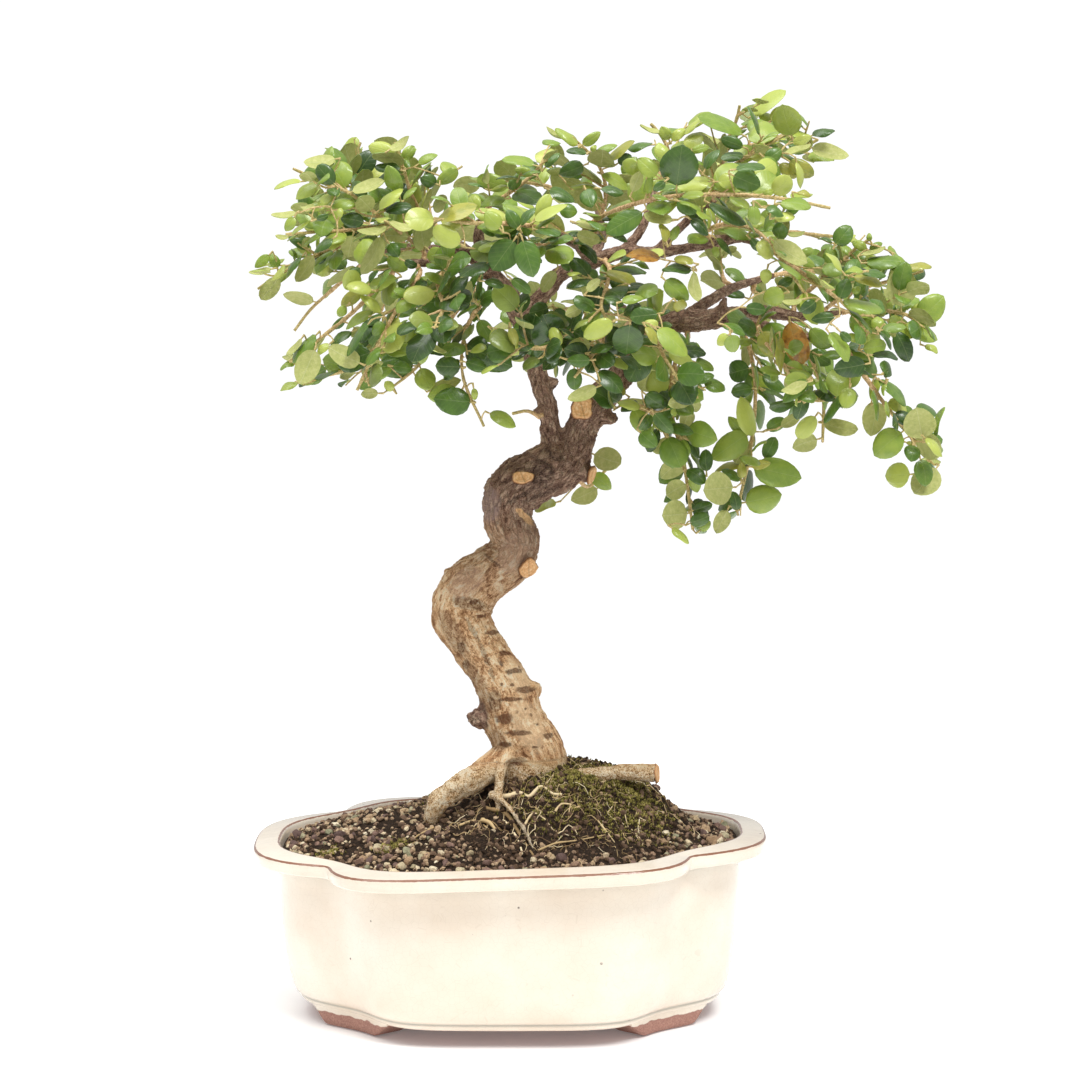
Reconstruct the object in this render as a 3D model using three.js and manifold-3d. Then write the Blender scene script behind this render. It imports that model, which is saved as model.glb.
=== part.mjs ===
// Wall cotoneaster bonsai in a four-lobed glazed pot, in millimetres with +Z up.
// The front of the pot faces -Y. While it is built, the zero point is in the pot's middle, a little above
// the table.
import * as THREE from 'three';
import { mergeVertices } from 'three/addons/utils/BufferGeometryUtils.js';
import Module from 'manifold-3d';

const wasm = await Module();
wasm.setup();

// Pot
const POT_HALF_WIDTH = 100;
const POT_HALF_DEPTH = 78;
const RIM_LEVEL = 65;
const TABLE_LEVEL = -5.5;
const FRONT_LOBE = { halfWidth: 70, halfDepth: POT_HALF_DEPTH, power: 5 };
const SIDE_LOBE = { halfWidth: POT_HALF_WIDTH, halfDepth: 56, power: 3 };
const NOTCH_ANGLE = 0.66;
const NOTCH_BLEND = 2.5;
const NOTCH_FADE = 3;
const WIDEST_BLEND = 30;
const LOBE_STEPS = 5;
const LIP_WIDTH = 10;
const LIP_BAND = 5.5;
const RIM_WARP = 0.036;
const BASE_LEVEL = 1;
const FLOOR_LEVEL = 6.5;
const BASE_INSET = 19.5;
const FOOT_FROM_X = 45.5;
const FOOT_TO_X = 75;
const FOOT_DEPTH = 11;
const DRAIN_HOLE_X = 34;
const DRAIN_HOLE_RADIUS = 8;

// Drain mesh
const MESH_SIDE = 24;
const MESH_THICKNESS = 1.2;
const MESH_HOLE = 8;
const MESH_BAR = 2.4;

// Soil
const SOIL_EDGE = 61.5;
const DOME_RISE = 13;
const MOUND = { x: 24, y: 4, rise: 18, spreadX: 40, spreadY: 34 };
const GRAIN_RISE = 1.1;
const SOIL_RINGS = 6;
const SOIL_BASE_INSET = 1.5;
const CLEARANCE = 0.35;

// Where the plant is looked at from, to place what is seen in front or behind
const EYE = { x: 11.65, y: -1150, z: 303 };

// Leaves
const LEAF_LENGTH = [11, 16];
const LEAF_BREADTH = [0.68, 0.84];
const LEAF_THICKNESS = 0.7;
const LEAF_ARCH = 1;
const LEAF_FOOT_OUT = 0.35;
const TIP_LEAF_BACK = 1.6;
const CROWN_CENTRE = new THREE.Vector3(35, 0, 262);
const LEAF_GAP = 0.55;
const SEED = 20117;

// Wood, each with points of [x, z, depth, radius], as seen from the front
const TRUNK = [
  [8, 70, 2, 15], [8, 88, 0, 14], [8, 96, -1, 13.4], [2, 108, -2, 12], [-1, 118, -2, 11.4],
  [-5, 127, -1, 10.4], [-10, 134, 0, 10], [-15, 142, 1, 10.3], [-19, 151, 2, 12], [-16, 160, 2, 12],
  [-8, 167, 1, 10.5], [0, 173, 0, 10], [2, 180, 0, 9.5], [-1, 189, -1, 9.6], [1, 198, -1, 11],
  [10, 205, 0, 10.5], [19, 209, 0, 10.5], [25, 215, 0, 7.4], [28, 224, 0, 6.5], [32, 231, 0, 6.8],
  [38, 238, 0, 5.8], [45, 247, 0, 5.2], [52, 257, 0, 5], [62, 264, 0, 4.6], [74, 265, 0, 4.3],
  [89, 267, 0, 3.4], [99, 268, 0, 2.8], [113, 266, 0, 2],
];
const BRANCHES = {
  left: [
    [18, 209, 0, 4.5], [16, 219, 0, 4], [15, 230, -1, 3.8], [12, 240, -1, 3.9], [9, 251, 0, 3.8],
    [5, 263, 0, 3.9], [1, 272, 0, 4.1], [-6, 282, 0, 3.5], [-16, 291, 2, 2.8], [-30, 299, 5, 2.2],
    [-44, 306, 8, 1.7], [-54, 312, 10, 1.2],
  ],
  middle: [
    [4, 266, 0, 3], [14, 276, 0, 3.2], [20, 283, 0, 3.2], [31, 287, -1, 3], [43, 291, -3, 2.8],
    [56, 291, -2, 2.4], [70, 293, 0, 2], [89, 296, 2, 1.3],
  ],
  middleRise: [[43, 291, -3, 2.2], [50, 299, 2, 1.9], [54, 309, 6, 1.5], [57, 319, 10, 1.2]],
  leftRise: [[-8, 285, 0, 2.4], [-12, 297, -2, 2.4], [-9, 306, -4, 1.8]],
  leftFront: [[-6, 282, 0, 2.4], [-19, 285, -14, 2.2], [-31, 287, -28, 1.8], [-41, 287, -38, 1.3]],
  leftBack: [[-16, 291, 2, 2.2], [-27, 292, 18, 2], [-41, 293, 35, 1.6], [-52, 290, 48, 1.2]],
  centreFront: [[31, 287, 0, 2.4], [27, 293, -18, 2.1], [20, 297, -35, 1.7], [15, 299, -48, 1.2]],
  centreBack: [[31, 287, 0, 2.4], [35, 296, 20, 2.1], [35, 303, 40, 1.7], [33, 309, 58, 1.2]],
  rightFront: [[66, 292, 0, 1.9], [78, 296, -20, 1.7], [90, 296, -35, 1.5], [100, 292, -48, 1.1]],
  rightBack: [[66, 265, 0, 2.8], [76, 272, 18, 2.4], [87, 278, 35, 1.9], [101, 282, 52, 1.3]],
  rightRise: [[56, 291, -2, 2], [67, 302, 5, 1.8], [78, 311, 8, 1.6], [87, 321, 10, 1.4], [91, 330, 10, 1.1]],
  lowRight: [[82, 266, 0, 2.6], [97, 263, -12, 2.2], [113, 259, -22, 1.7], [127, 255, -30, 1.2]],
  lowBack: [[53, 257, 0, 3.2], [50, 263, 22, 2.6], [45, 268, 42, 2], [41, 272, 62, 1.3]],
  lowFront: [[6, 261, 0, 2.6], [14, 262, -14, 2.2], [25, 261, -26, 1.7], [35, 258, -36, 1.2]],
  farRight: [[111, 266, 0, 1.7], [119, 267, -2, 1.5], [128, 268, -4, 1.2]],
};
const KNOBS = [
  [[30, 231, -1, 4.5], [28, 231, -6, 4.6], [28, 231, -9, 4.1]],
  [[22, 212, 0, 4], [30, 206, -2, 4], [32.5, 203, -3, 3.4]],
  [[-6, 111, -2, 5], [-13, 110, -5, 4], [-15, 110, -6, 2.6]],
  [[0, 122, -1, 4], [9, 121, -4, 3.6], [11, 121, -5, 2.8]],
  [[34, 229, 0, 3], [39, 227, -3, 2.8], [41, 227, -4, 2]],
  [[80, 267, 0, 2.6], [82, 271, -2, 1.8], [83, 274, -3, 1]],
];
const ROOTS = {
  thickLeft: [
    [4, 98, -4, 7], [-9, 88, -10, 5.4], [-17, 83, -15, 5], [-25, 79, -18, 4.6], [-31, 75, -20, 4],
    [-37, 66, -20, 3],
  ],
  frontDown: [[2, 100, -10, 3.8], [-2, 91, -16, 2.8], [-4, 82, -20, 2.5], [-4, 74, -22, 2]],
  frontLeft: [[-6, 84, -18, 2.6], [-2, 80, -24, 2.2], [2, 72, -32, 1.8], [7, 65, -42, 1.4], [10, 58, -52, 1]],
  cutRight: [[20, 90, -6, 4.2], [35, 89, -10, 3.2], [46, 88.5, -12, 3.1], [57, 88, -13, 3.9]],
  right: [[16, 92, 2, 6], [30, 84, 8, 4.4], [42, 78, 14, 3], [54, 70, 18, 1.8]],
  backLeft: [[2, 92, 6, 6], [-8, 84, 18, 4.2], [-16, 77, 28, 3], [-24, 68, 36, 1.8]],
  backRight: [[14, 92, 8, 6], [20, 84, 22, 4], [28, 76, 34, 2.8], [36, 66, 42, 1.8]],
};

const TRUNK_SIDES = 9;
const ROOT_SIDES = 6;
const BRANCH_SIDES = 5;
const BARK_WOBBLE = 0.03;

// Leafy sprays, each a twig with points of [x, z, depth], as seen from the front
const SPRAYS = {
  left_tip: [[-44, 306, 8], [-58, 296, 2], [-77, 289, -4], [-97, 277, -8]],
  left_mid: [[-41, 304, 7], [-57, 300, -10], [-72, 299, -16], [-86, 298, -20]],
  left_upper: [[-50, 310, 9], [-64, 315, 0], [-74, 319, -8], [-83, 323, -12]],
  left_top: [[-54, 312, 10], [-57, 319, 14], [-59, 326, 16], [-57, 333, 16]],
  left_cut: [[-30, 299, 5], [-36, 309, -10], [-40, 321, -16], [-44, 333, -20]],
  left_front_up: [[-33, 287, -30], [-47, 302, -44], [-60, 313, -48], [-70, 317, -50]],
  left_front_down: [[-36, 287, -33], [-42, 272, -52], [-50, 257, -58], [-59, 238, -60]],
  left_low_front: [[-41, 287, -38], [-54, 274, -40], [-68, 262, -40], [-85, 249, -38]],
  left_low: [[-16, 290, 2], [-33, 268, -10], [-56, 249, -12], [-83, 241, -12]],
  left_hang_short: [[-12, 283, -6], [-24, 265, -24], [-33, 250, -32], [-47, 238, -36]],
  left_hang_long: [[-3, 277, -2], [-15, 266, -34], [-19, 248, -46], [-10, 224, -48]],
  left_pad: [[-27, 286, -24], [-29, 279, -52], [-25, 271, -64], [-31, 261, -70]],
  low_shoot: [[15, 229, -1], [8, 230, -8], [1, 229, -12]],
  top_left: [[-9, 306, -4], [-1, 313, -8], [8, 320, -10], [14, 327, -10]],
  top_mid: [[35, 303, 38], [37, 317, 26], [32, 327, 18], [24, 335, 14]],
  top_right: [[57, 319, 10], [61, 327, 14], [59, 334, 14], [54, 340, 12]],
  crest_front: [[78, 311, 8], [77, 317, -12], [90, 327, -20], [106, 336, -24]],
  crest_stub: [[85, 318, 10], [82, 330, 18], [86, 339, 18], [88, 347, 16]],
  crest_right: [[91, 330, 10], [106, 329, 2], [118, 334, -4]],
  front_long: [[22, 296, -30], [43, 309, -56], [74, 313, -64], [101, 312, -64], [123, 308, -62]],
  front_right: [[78, 296, -20], [91, 302, -44], [103, 290, -58], [113, 276, -64]],
  front_centre: [[19, 297, -38], [10, 294, -54], [0, 292, -64], [-8, 287, -70]],
  front_left: [[15, 299, -48], [4, 302, -66], [-12, 302, -74], [-29, 304, -78]],
  centre_dark: [[23, 261, -24], [18, 256, -46], [10, 254, -58], [2, 257, -64]],
  centre_low: [[35, 258, -36], [32, 252, -48], [25, 243, -54]],
  centre_mid: [[37, 289, -2], [39, 282, -32], [35, 272, -50], [38, 264, -60]],
  stem_right: [[50, 254, 0], [53, 262, -24], [59, 252, -38], [65, 242, -44]],
  stem_low: [[37, 238, 0], [47, 233, -14], [56, 229, -20], [61, 220, -24]],
  hang_inner: [[68, 264, 0], [61, 241, -8], [66, 218, -14], [71, 184, -16]],
  hang_outer: [[89, 267, 0], [94, 249, -4], [94, 222, -8], [88, 191, -10]],
  behind_stem: [[23, 209, 0], [29, 200, 20], [37, 207, 30]],
  right_front: [[100, 292, -48], [115, 281, -58], [127, 273, -58], [137, 261, -54]],
  right_fall: [[127, 255, -30], [142, 236, -30], [153, 223, -28], [164, 209, -24]],
  right_end: [[128, 268, -4], [140, 269, -10], [150, 268, -14], [160, 264, -14]],
  right_crown: [[109, 266, 0], [122, 282, 6], [131, 291, 6], [138, 296, 4]],
  right_upper: [[121, 267, -3], [134, 277, 12], [147, 280, 14], [159, 284, 12]],
  right_hang: [[115, 259, -23], [120, 243, -28], [121, 218, -28]],
  right_low_front: [[97, 263, -12], [101, 254, -38], [108, 244, -48], [114, 233, -50]],
  right_mid: [[89, 296, 2], [103, 299, -4], [115, 298, -8], [126, 297, -10]],
  back_top_left: [[33, 309, 58], [19, 315, 72], [4, 318, 80], [-11, 317, 84]],
  back_top_right: [[34, 306, 48], [50, 315, 74], [70, 319, 86], [87, 315, 92]],
  back_left: [[-41, 293, 35], [-54, 301, 50], [-68, 306, 58], [-80, 309, 60]],
  back_left_low: [[-52, 290, 48], [-63, 281, 58], [-75, 271, 62], [-83, 261, 62]],
  back_left_up: [[-27, 292, 18], [-31, 305, 38], [-37, 317, 50], [-42, 325, 56]],
  back_hang_left: [[-47, 292, 42], [-47, 276, 66], [-52, 261, 72], [-54, 246, 74]],
  back_low: [[41, 272, 62], [30, 271, 78], [16, 268, 88], [2, 264, 92]],
  back_hang: [[43, 270, 52], [52, 261, 74], [57, 247, 84], [60, 233, 86]],
  back_right: [[101, 282, 52], [113, 284, 64], [127, 282, 70], [141, 275, 70]],
  back_hang_right: [[94, 280, 44], [106, 268, 68], [113, 253, 76], [115, 237, 78]],
  back_crest: [[86, 278, 34], [80, 292, 55], [79, 303, 66], [84, 314, 70]],
  back_inner: [[47, 266, 32], [35, 260, 48], [23, 254, 52], [9, 252, 54]],
  back_mid: [[35, 299, 30], [19, 297, 50], [5, 299, 60], [-10, 299, 64]],
};
const TWIG_BASE_RADIUS = 1.2;
const TWIG_TIP_RADIUS = 0.75;
const TWIG_STRAIGHT = 2;
const TWIG_SIDES = 3;
const STEEPEST_SEAT = 0.8;
const LEAVES_A_SPRAY = 6;
const LEAF_TRIES = 14;

// Materials
const COLOURS = {
  glaze: ['#f4efe0', 0.18],
  mesh: ['#26282a', 0.6],
  soil: ['#4d4034', 0.95],
  bark: ['#9c8468', 0.85],
  leaf: ['#4c7a2c', 0.4],
};
const finish = (name) => new THREE.MeshStandardMaterial({
  name,
  color: COLOURS[name][0],
  roughness: COLOURS[name][1],
  metalness: 0,
});

// A point seen at (x, z) on the trunk's upright plane, moved along the line of sight to its depth
function seen([x, z, depth]) {
  const reach = (depth - EYE.y) / -EYE.y;
  return new THREE.Vector3(EYE.x + (x - EYE.x) * reach, depth, EYE.z + (z - EYE.z) * reach);
}

// A seeded row of numbers from 0 to 1, the same on every run
let randomState = SEED;
function random() {
  randomState = (randomState * 1664525 + 1013904223) % 4294967296;
  return randomState / 4294967296;
}
const between = (low, high) => low + (high - low) * random();

function solidFrom(points, triangles) {
  const geometry = new THREE.BufferGeometry();
  geometry.setFromPoints(points);
  geometry.setIndex(triangles.flat());
  const merged = mergeVertices(geometry, 1e-4);
  return new wasm.Manifold(new wasm.Mesh({
    numProp: 3,
    vertProperties: new Float32Array(merged.attributes.position.array),
    triVerts: new Uint32Array(merged.index.array),
  }));
}

function solidOf(geometry) {
  geometry.deleteAttribute('normal');
  geometry.deleteAttribute('uv');
  const merged = mergeVertices(geometry, 1e-4);
  return new wasm.Manifold(new wasm.Mesh({
    numProp: 3,
    vertProperties: new Float32Array(merged.attributes.position.array),
    triVerts: new Uint32Array(merged.index.array),
  }));
}

function meshOf(solid, name, material) {
  const cut = solid.getMesh();
  const geometry = new THREE.BufferGeometry();
  geometry.setAttribute('position', new THREE.Float32BufferAttribute(cut.vertProperties, 3));
  geometry.setIndex(new THREE.BufferAttribute(cut.triVerts, 1));
  const mesh = new THREE.Mesh(geometry, material);
  mesh.name = name;
  return mesh;
}

// A closed skin over rings that have equal counts of points. Its two ends are fans round their middles
// if they are centred, and leaning turns each four-sided patch's diagonal the other way.
function loft(rings, { leaning = false, centred = false } = {}) {
  const count = rings[0].length;
  const points = rings.flat();
  const triangles = [];
  for (let ring = 0; ring < rings.length - 1; ring += 1) {
    for (let i = 0; i < count; i += 1) {
      const a = ring * count + i;
      const b = ring * count + ((i + 1) % count);
      if (leaning) {
        triangles.push([a, b, a + count], [b, b + count, a + count]);
      } else {
        triangles.push([a, b, b + count], [a, b + count, a + count]);
      }
    }
  }
  const last = (rings.length - 1) * count;
  if (centred) {
    const middleOf = (ring) => ring.reduce((sum, p) => sum.add(p), new THREE.Vector3()).divideScalar(count);
    points.push(middleOf(rings[0]), middleOf(rings[rings.length - 1]));
    for (let i = 0; i < count; i += 1) {
      const next = (i + 1) % count;
      triangles.push([points.length - 2, next, i], [points.length - 1, last + i, last + next]);
    }
  } else {
    for (let i = 1; i < count - 1; i += 1) {
      triangles.push([0, i + 1, i], [last, last + i, last + i + 1]);
    }
  }
  return solidFrom(points, triangles);
}

// A tapered limb with a ring of points round each of its places
function limb(places, radii, sides, wobble = 0) {
  const rings = [];
  let side = null;
  places.forEach((place, index) => {
    const before = places[Math.max(index - 1, 0)];
    const after = places[Math.min(index + 1, places.length - 1)];
    const along = after.clone().sub(before).normalize();
    side = side ?? new THREE.Vector3(0, 1, 0).cross(along).normalize();
    side = side.clone().addScaledVector(along, -side.dot(along)).normalize();
    const up = along.clone().cross(side);
    const ring = [];
    for (let i = 0; i < sides; i += 1) {
      const turn = (2 * Math.PI * i) / sides;
      const ripple = Math.sin(3 * turn + index * 1.7) + 0.6 * Math.sin(2 * turn - index * 2.3);
      const radius = radii[index] * (1 + wobble * ripple);
      const out = side.clone().multiplyScalar(Math.cos(turn)).addScaledVector(up, Math.sin(turn));
      ring.push(place.clone().addScaledVector(out, radius));
    }
    rings.push(ring);
  });
  return loft(rings);
}

function woodFrom(points, sides, wobble) {
  return limb(points.map(seen), points.map((point) => point[3]), sides, wobble);
}

// The room that a limb needs in the soil: the same limb, a clearance wider and longer at both ends
function socketFor(points, sides, wobble) {
  const places = points.map(seen);
  const last = places.length - 1;
  const stretch = (end, inner) => places[end].clone().sub(places[inner]).setLength(2 * CLEARANCE);
  const ends = [stretch(0, 1), stretch(last, last - 1)];
  places[0].add(ends[0]);
  places[last].add(ends[1]);
  const wider = CLEARANCE / Math.cos(Math.PI / sides);
  return limb(places, points.map((point) => point[3] + wider), sides, wobble);
}

function largestPiece(solid) {
  return solid.decompose().reduce((best, piece) => (piece.volume() > best.volume() ? piece : best));
}

// The pot's plan: a wide front lobe joined to a longer, narrower side lobe, drawn in by inset.
// The notches between the lobes are sharp at the lip and fade in the wall and the opening.
function lobeReach(lobe, angle, inset) {
  const across = Math.abs(Math.cos(angle)) / (lobe.halfWidth - inset);
  const deep = Math.abs(Math.sin(angle)) / (lobe.halfDepth - inset);
  return (across ** lobe.power + deep ** lobe.power) ** (-1 / lobe.power);
}

function potReach(angle, inset) {
  const front = lobeReach(FRONT_LOBE, angle, inset);
  const side = lobeReach(SIDE_LOBE, angle, inset);
  const width = Math.min(NOTCH_BLEND + NOTCH_FADE * inset, WIDEST_BLEND);
  const blend = Math.max(width - Math.abs(front - side), 0) / width;
  return Math.max(front, side) + blend * blend * width / 4;
}

function potAngles() {
  const quarter = [];
  for (let i = 0; i < LOBE_STEPS; i += 1) {
    quarter.push(NOTCH_ANGLE * i / LOBE_STEPS);
  }
  for (let i = 0; i < LOBE_STEPS; i += 1) {
    quarter.push(NOTCH_ANGLE + (Math.PI / 2 - NOTCH_ANGLE) * i / LOBE_STEPS);
  }
  const mirrored = quarter.map((angle) => Math.PI - angle).reverse();
  const half = [...quarter, Math.PI / 2, ...mirrored.slice(0, -1)];
  return [...half, ...half.map((angle) => angle + Math.PI)];
}

// The rim is a little low at its left front and high at its right front
function warped(point) {
  const share = Math.min(Math.max(point.z / RIM_LEVEL, 0), 1);
  point.z += RIM_WARP * point.x * (1 - point.y / POT_HALF_DEPTH) / 2 * share;
  return point;
}

function potRing(inset, z) {
  return potAngles().map((angle) => {
    const reach = potReach(angle, inset);
    return warped(new THREE.Vector3(reach * Math.cos(angle), reach * Math.sin(angle), z));
  });
}

const INNER_WALL = [[24, FLOOR_LEVEL], [19.5, 16], [LIP_WIDTH + 0.5, RIM_LEVEL - 1.2]];

function makePot() {
  const lipUnder = RIM_LEVEL - 1 - LIP_BAND;
  const outline = [
    [BASE_INSET, BASE_LEVEL], [15.6, 5.5], [11.3, 26], [9, lipUnder - 0.6], [0.6, lipUnder],
    [0, lipUnder + 1], [0.3, RIM_LEVEL - 1.2], [LIP_WIDTH - 0.8, RIM_LEVEL],
    ...INNER_WALL.slice().reverse(),
  ];
  let pot = loft(outline.map(([inset, z]) => potRing(inset, z)), { centred: true });
  for (const sideX of [-1, 1]) {
    for (const sideY of [-1, 1]) {
      pot = pot.add(makeFoot(sideX, sideY));
    }
    const hole = new THREE.CylinderGeometry(DRAIN_HOLE_RADIUS, DRAIN_HOLE_RADIUS, RIM_LEVEL, 10);
    hole.rotateX(Math.PI / 2);
    hole.translate(sideX * DRAIN_HOLE_X, 0, 0);
    pot = pot.subtract(solidOf(hole));
  }
  return pot;
}

// A foot follows the pot's corner, and its ends slope up into the base
function makeFoot(sideX, sideY) {
  const shares = [0, 0.1, 0.36, 0.64, 0.9, 1];
  const turnAt = (x) => {
    let low = 0.1;
    let high = Math.PI / 2;
    for (let i = 0; i < 30; i += 1) {
      const middle = (low + high) / 2;
      if (potReach(middle, BASE_INSET) * Math.cos(middle) > x) {
        low = middle;
      } else {
        high = middle;
      }
    }
    return low;
  };
  const start = turnAt(FOOT_TO_X);
  const end = turnAt(FOOT_FROM_X);
  const rings = [];
  for (const share of shares) {
    const angle = start + (end - start) * share;
    const foot = (inset, z) => {
      const reach = potReach(angle, inset);
      return new THREE.Vector3(sideX * reach * Math.cos(angle), sideY * reach * Math.sin(angle), z);
    };
    const low = share === 0 || share === 1 ? BASE_LEVEL - 1 : TABLE_LEVEL;
    const ring = [
      foot(BASE_INSET - 1.5, BASE_LEVEL + 2), foot(BASE_INSET - 1, low),
      foot(BASE_INSET + FOOT_DEPTH, low), foot(BASE_INSET + FOOT_DEPTH, BASE_LEVEL + 2),
    ];
    rings.push(sideX * sideY > 0 ? ring : ring.reverse());
  }
  return loft(rings);
}

function makeDrainMesh(sideX) {
  let plate = solidOf(new THREE.BoxGeometry(MESH_SIDE, MESH_SIDE, MESH_THICKNESS));
  const pitch = MESH_HOLE + MESH_BAR;
  for (const column of [-0.5, 0.5]) {
    for (const row of [-0.5, 0.5]) {
      const hole = new THREE.BoxGeometry(MESH_HOLE, MESH_HOLE, 2 * MESH_THICKNESS);
      hole.translate(column * pitch, row * pitch, 0);
      plate = plate.subtract(solidOf(hole));
    }
  }
  return plate.translate([sideX * DRAIN_HOLE_X, 0, FLOOR_LEVEL + CLEARANCE + MESH_THICKNESS / 2]);
}

// Height of the soil: a low dome over the whole pot, a steep-sided mound under the trunk, and coarse grains
function soilHeight(x, y, share) {
  const dome = SOIL_EDGE + DOME_RISE * (1 - share * share);
  const away = ((x - MOUND.x) / MOUND.spreadX) ** 2 + ((y - MOUND.y) / MOUND.spreadY) ** 2;
  const mound = MOUND.rise * Math.exp(-away * away) * Math.min(1, 3 * (1 - share));
  const coarse = Math.sin(x * 0.61 + y * 0.35) * Math.sin(y * 0.72 - x * 0.21);
  const grain = coarse + 0.5 * Math.sin(x * 1.3 + 2) * Math.sin(y * 1.1);
  return dome + mound + GRAIN_RISE * grain * (share < 1 ? 1 : 0);
}

function makeSoil() {
  const top = [];
  for (let ring = SOIL_RINGS; ring >= 1; ring -= 1) {
    const share = ring / SOIL_RINGS;
    top.push(potAngles().map((angle) => {
      const reach = (potReach(angle, LIP_WIDTH + 1) - CLEARANCE) * share;
      const x = reach * Math.cos(angle);
      const y = reach * Math.sin(angle);
      const point = new THREE.Vector3(x, y, soilHeight(x, y, share));
      return share === 1 ? warped(point) : point;
    }));
  }
  const [[floorInset, floorZ], [wallInset, wallZ]] = INNER_WALL;
  const bottom = [
    potRing(floorInset + SOIL_BASE_INSET, floorZ + 2 * CLEARANCE + MESH_THICKNESS),
    potRing(wallInset + CLEARANCE, wallZ),
  ];
  let soil = loft([...bottom, ...top], { leaning: true, centred: true });
  soil = soil.subtract(socketFor(TRUNK, TRUNK_SIDES, BARK_WOBBLE));
  for (const points of Object.values(ROOTS)) {
    soil = soil.subtract(socketFor(points, ROOT_SIDES, BARK_WOBBLE));
  }
  return largestPiece(soil);
}

function makeWood() {
  let wood = woodFrom(TRUNK, TRUNK_SIDES, BARK_WOBBLE);
  for (const points of Object.values(ROOTS)) {
    wood = wood.add(woodFrom(points, ROOT_SIDES, BARK_WOBBLE));
  }
  for (const points of Object.values(BRANCHES)) {
    wood = wood.add(woodFrom(points, BRANCH_SIDES, 0));
  }
  for (const points of KNOBS) {
    wood = wood.add(woodFrom(points, BRANCH_SIDES, BARK_WOBBLE));
  }
  return wood;
}

// Straight lengths of wood that leaves and twigs keep clear of
function lengthsOf(points) {
  const places = points.map(seen);
  return places.slice(1).map((to, index) => ({
    from: places[index],
    to,
    radius: Math.max(points[index][3], points[index + 1][3]),
    last: index === places.length - 2,
  }));
}
const woodLengths = [TRUNK, ...Object.values(BRANCHES)].flatMap(lengthsOf);

// A twig starts just clear of the wood that carries it, square to the bark or in line with a tip
function twigPlaces(points) {
  const places = points.map(seen);
  const first = places[0];
  let best = null;
  for (const length of woodLengths) {
    const along = length.to.clone().sub(length.from);
    const share = Math.min(Math.max(first.clone().sub(length.from).dot(along) / along.lengthSq(), 0), 1);
    const foot = length.from.clone().addScaledVector(along, share);
    const off = foot.distanceTo(first) - length.radius;
    if (!best || off < best.off) {
      best = { off, foot, along: along.normalize(), length, atTip: length.last && share > 0.98 };
    }
  }
  const out = places[1].clone().sub(best.foot);
  const square = out.addScaledVector(best.along, -out.dot(best.along)).normalize();
  const away = best.atTip ? best.along : square;
  const reach = best.atTip ? CLEARANCE : best.length.radius + CLEARANCE;
  const start = best.foot.clone().addScaledVector(away, reach);
  const straight = start.clone().addScaledVector(away, TWIG_STRAIGHT);
  const curve = new THREE.CatmullRomCurve3([start, straight, ...places.slice(1)], false, 'centripetal');
  return curve.getPoints(places.length + 1);
}

// Elliptic slab round a leaf: whether the straight line from a to b comes within margin of it
function lineMeetsLeaf(a, b, leaf, margin) {
  const start = a.clone().sub(leaf.middle);
  const step = b.clone().sub(a);
  const rise = start.dot(leaf.normal);
  const climb = step.dot(leaf.normal);
  const limit = LEAF_ARCH / 2 + LEAF_THICKNESS / 2 + margin;
  let low = 0;
  let high = 1;
  if (Math.abs(climb) < 1e-6) {
    if (Math.abs(rise) > limit) {
      return false;
    }
  } else {
    const one = (-limit - rise) / climb;
    const two = (limit - rise) / climb;
    low = Math.max(low, Math.min(one, two));
    high = Math.min(high, Math.max(one, two));
    if (low > high) {
      return false;
    }
  }
  const u = start.dot(leaf.along) / (leaf.length / 2 + margin);
  const v = start.dot(leaf.across) / (leaf.width / 2 + margin);
  const du = step.dot(leaf.along) / (leaf.length / 2 + margin);
  const dv = step.dot(leaf.across) / (leaf.width / 2 + margin);
  const square = du * du + dv * dv;
  const nearest = square > 0 ? Math.min(Math.max(-(u * du + v * dv) / square, low), high) : low;
  return (u + du * nearest) ** 2 + (v + dv * nearest) ** 2 < 1;
}

// A leaf's outline as [share of length, share of width, share of arch], from its foot round its tip
const LEAF_SHAPE = [
  [0, 0, 0], [0.33, -0.5, 0.4], [0.7, -0.46, 0.3], [1, 0, -0.6], [0.7, 0.46, 0.3], [0.33, 0.5, 0.4],
];
const LEAF_FACES = [[0, 1, 5], [5, 1, 2], [5, 2, 4], [4, 2, 3]];

function leafPoint(leaf, [length, width, arch]) {
  const point = leaf.foot.clone().addScaledVector(leaf.along, leaf.length * length);
  point.addScaledVector(leaf.across, leaf.width * width);
  return point.addScaledVector(leaf.normal, LEAF_ARCH * arch);
}

function leafEdges(leaf) {
  const corners = LEAF_SHAPE.map((place) => leafPoint(leaf, place));
  const edges = corners.slice(1).map((corner, index) => [corner, corners[(index + 2) % corners.length]]);
  const midrib = [corners[0].clone().lerp(corners[3], 0.15), corners[3]];
  return [...edges, [corners[1], corners[5]], [corners[2], corners[4]], midrib];
}

function makeLeaf(twigPlace, along, facing, length, width) {
  const foot = twigPlace.clone().addScaledVector(along, LEAF_FOOT_OUT);
  const across = facing.clone().cross(along).normalize();
  const normal = along.clone().cross(across).normalize();
  const leaf = { foot, along, across, normal, length, width };
  leaf.middle = foot.clone().addScaledVector(along, length / 2);
  leaf.edges = leafEdges(leaf);
  return leaf;
}

const placedLeaves = [];
const twigLengths = [];

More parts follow.
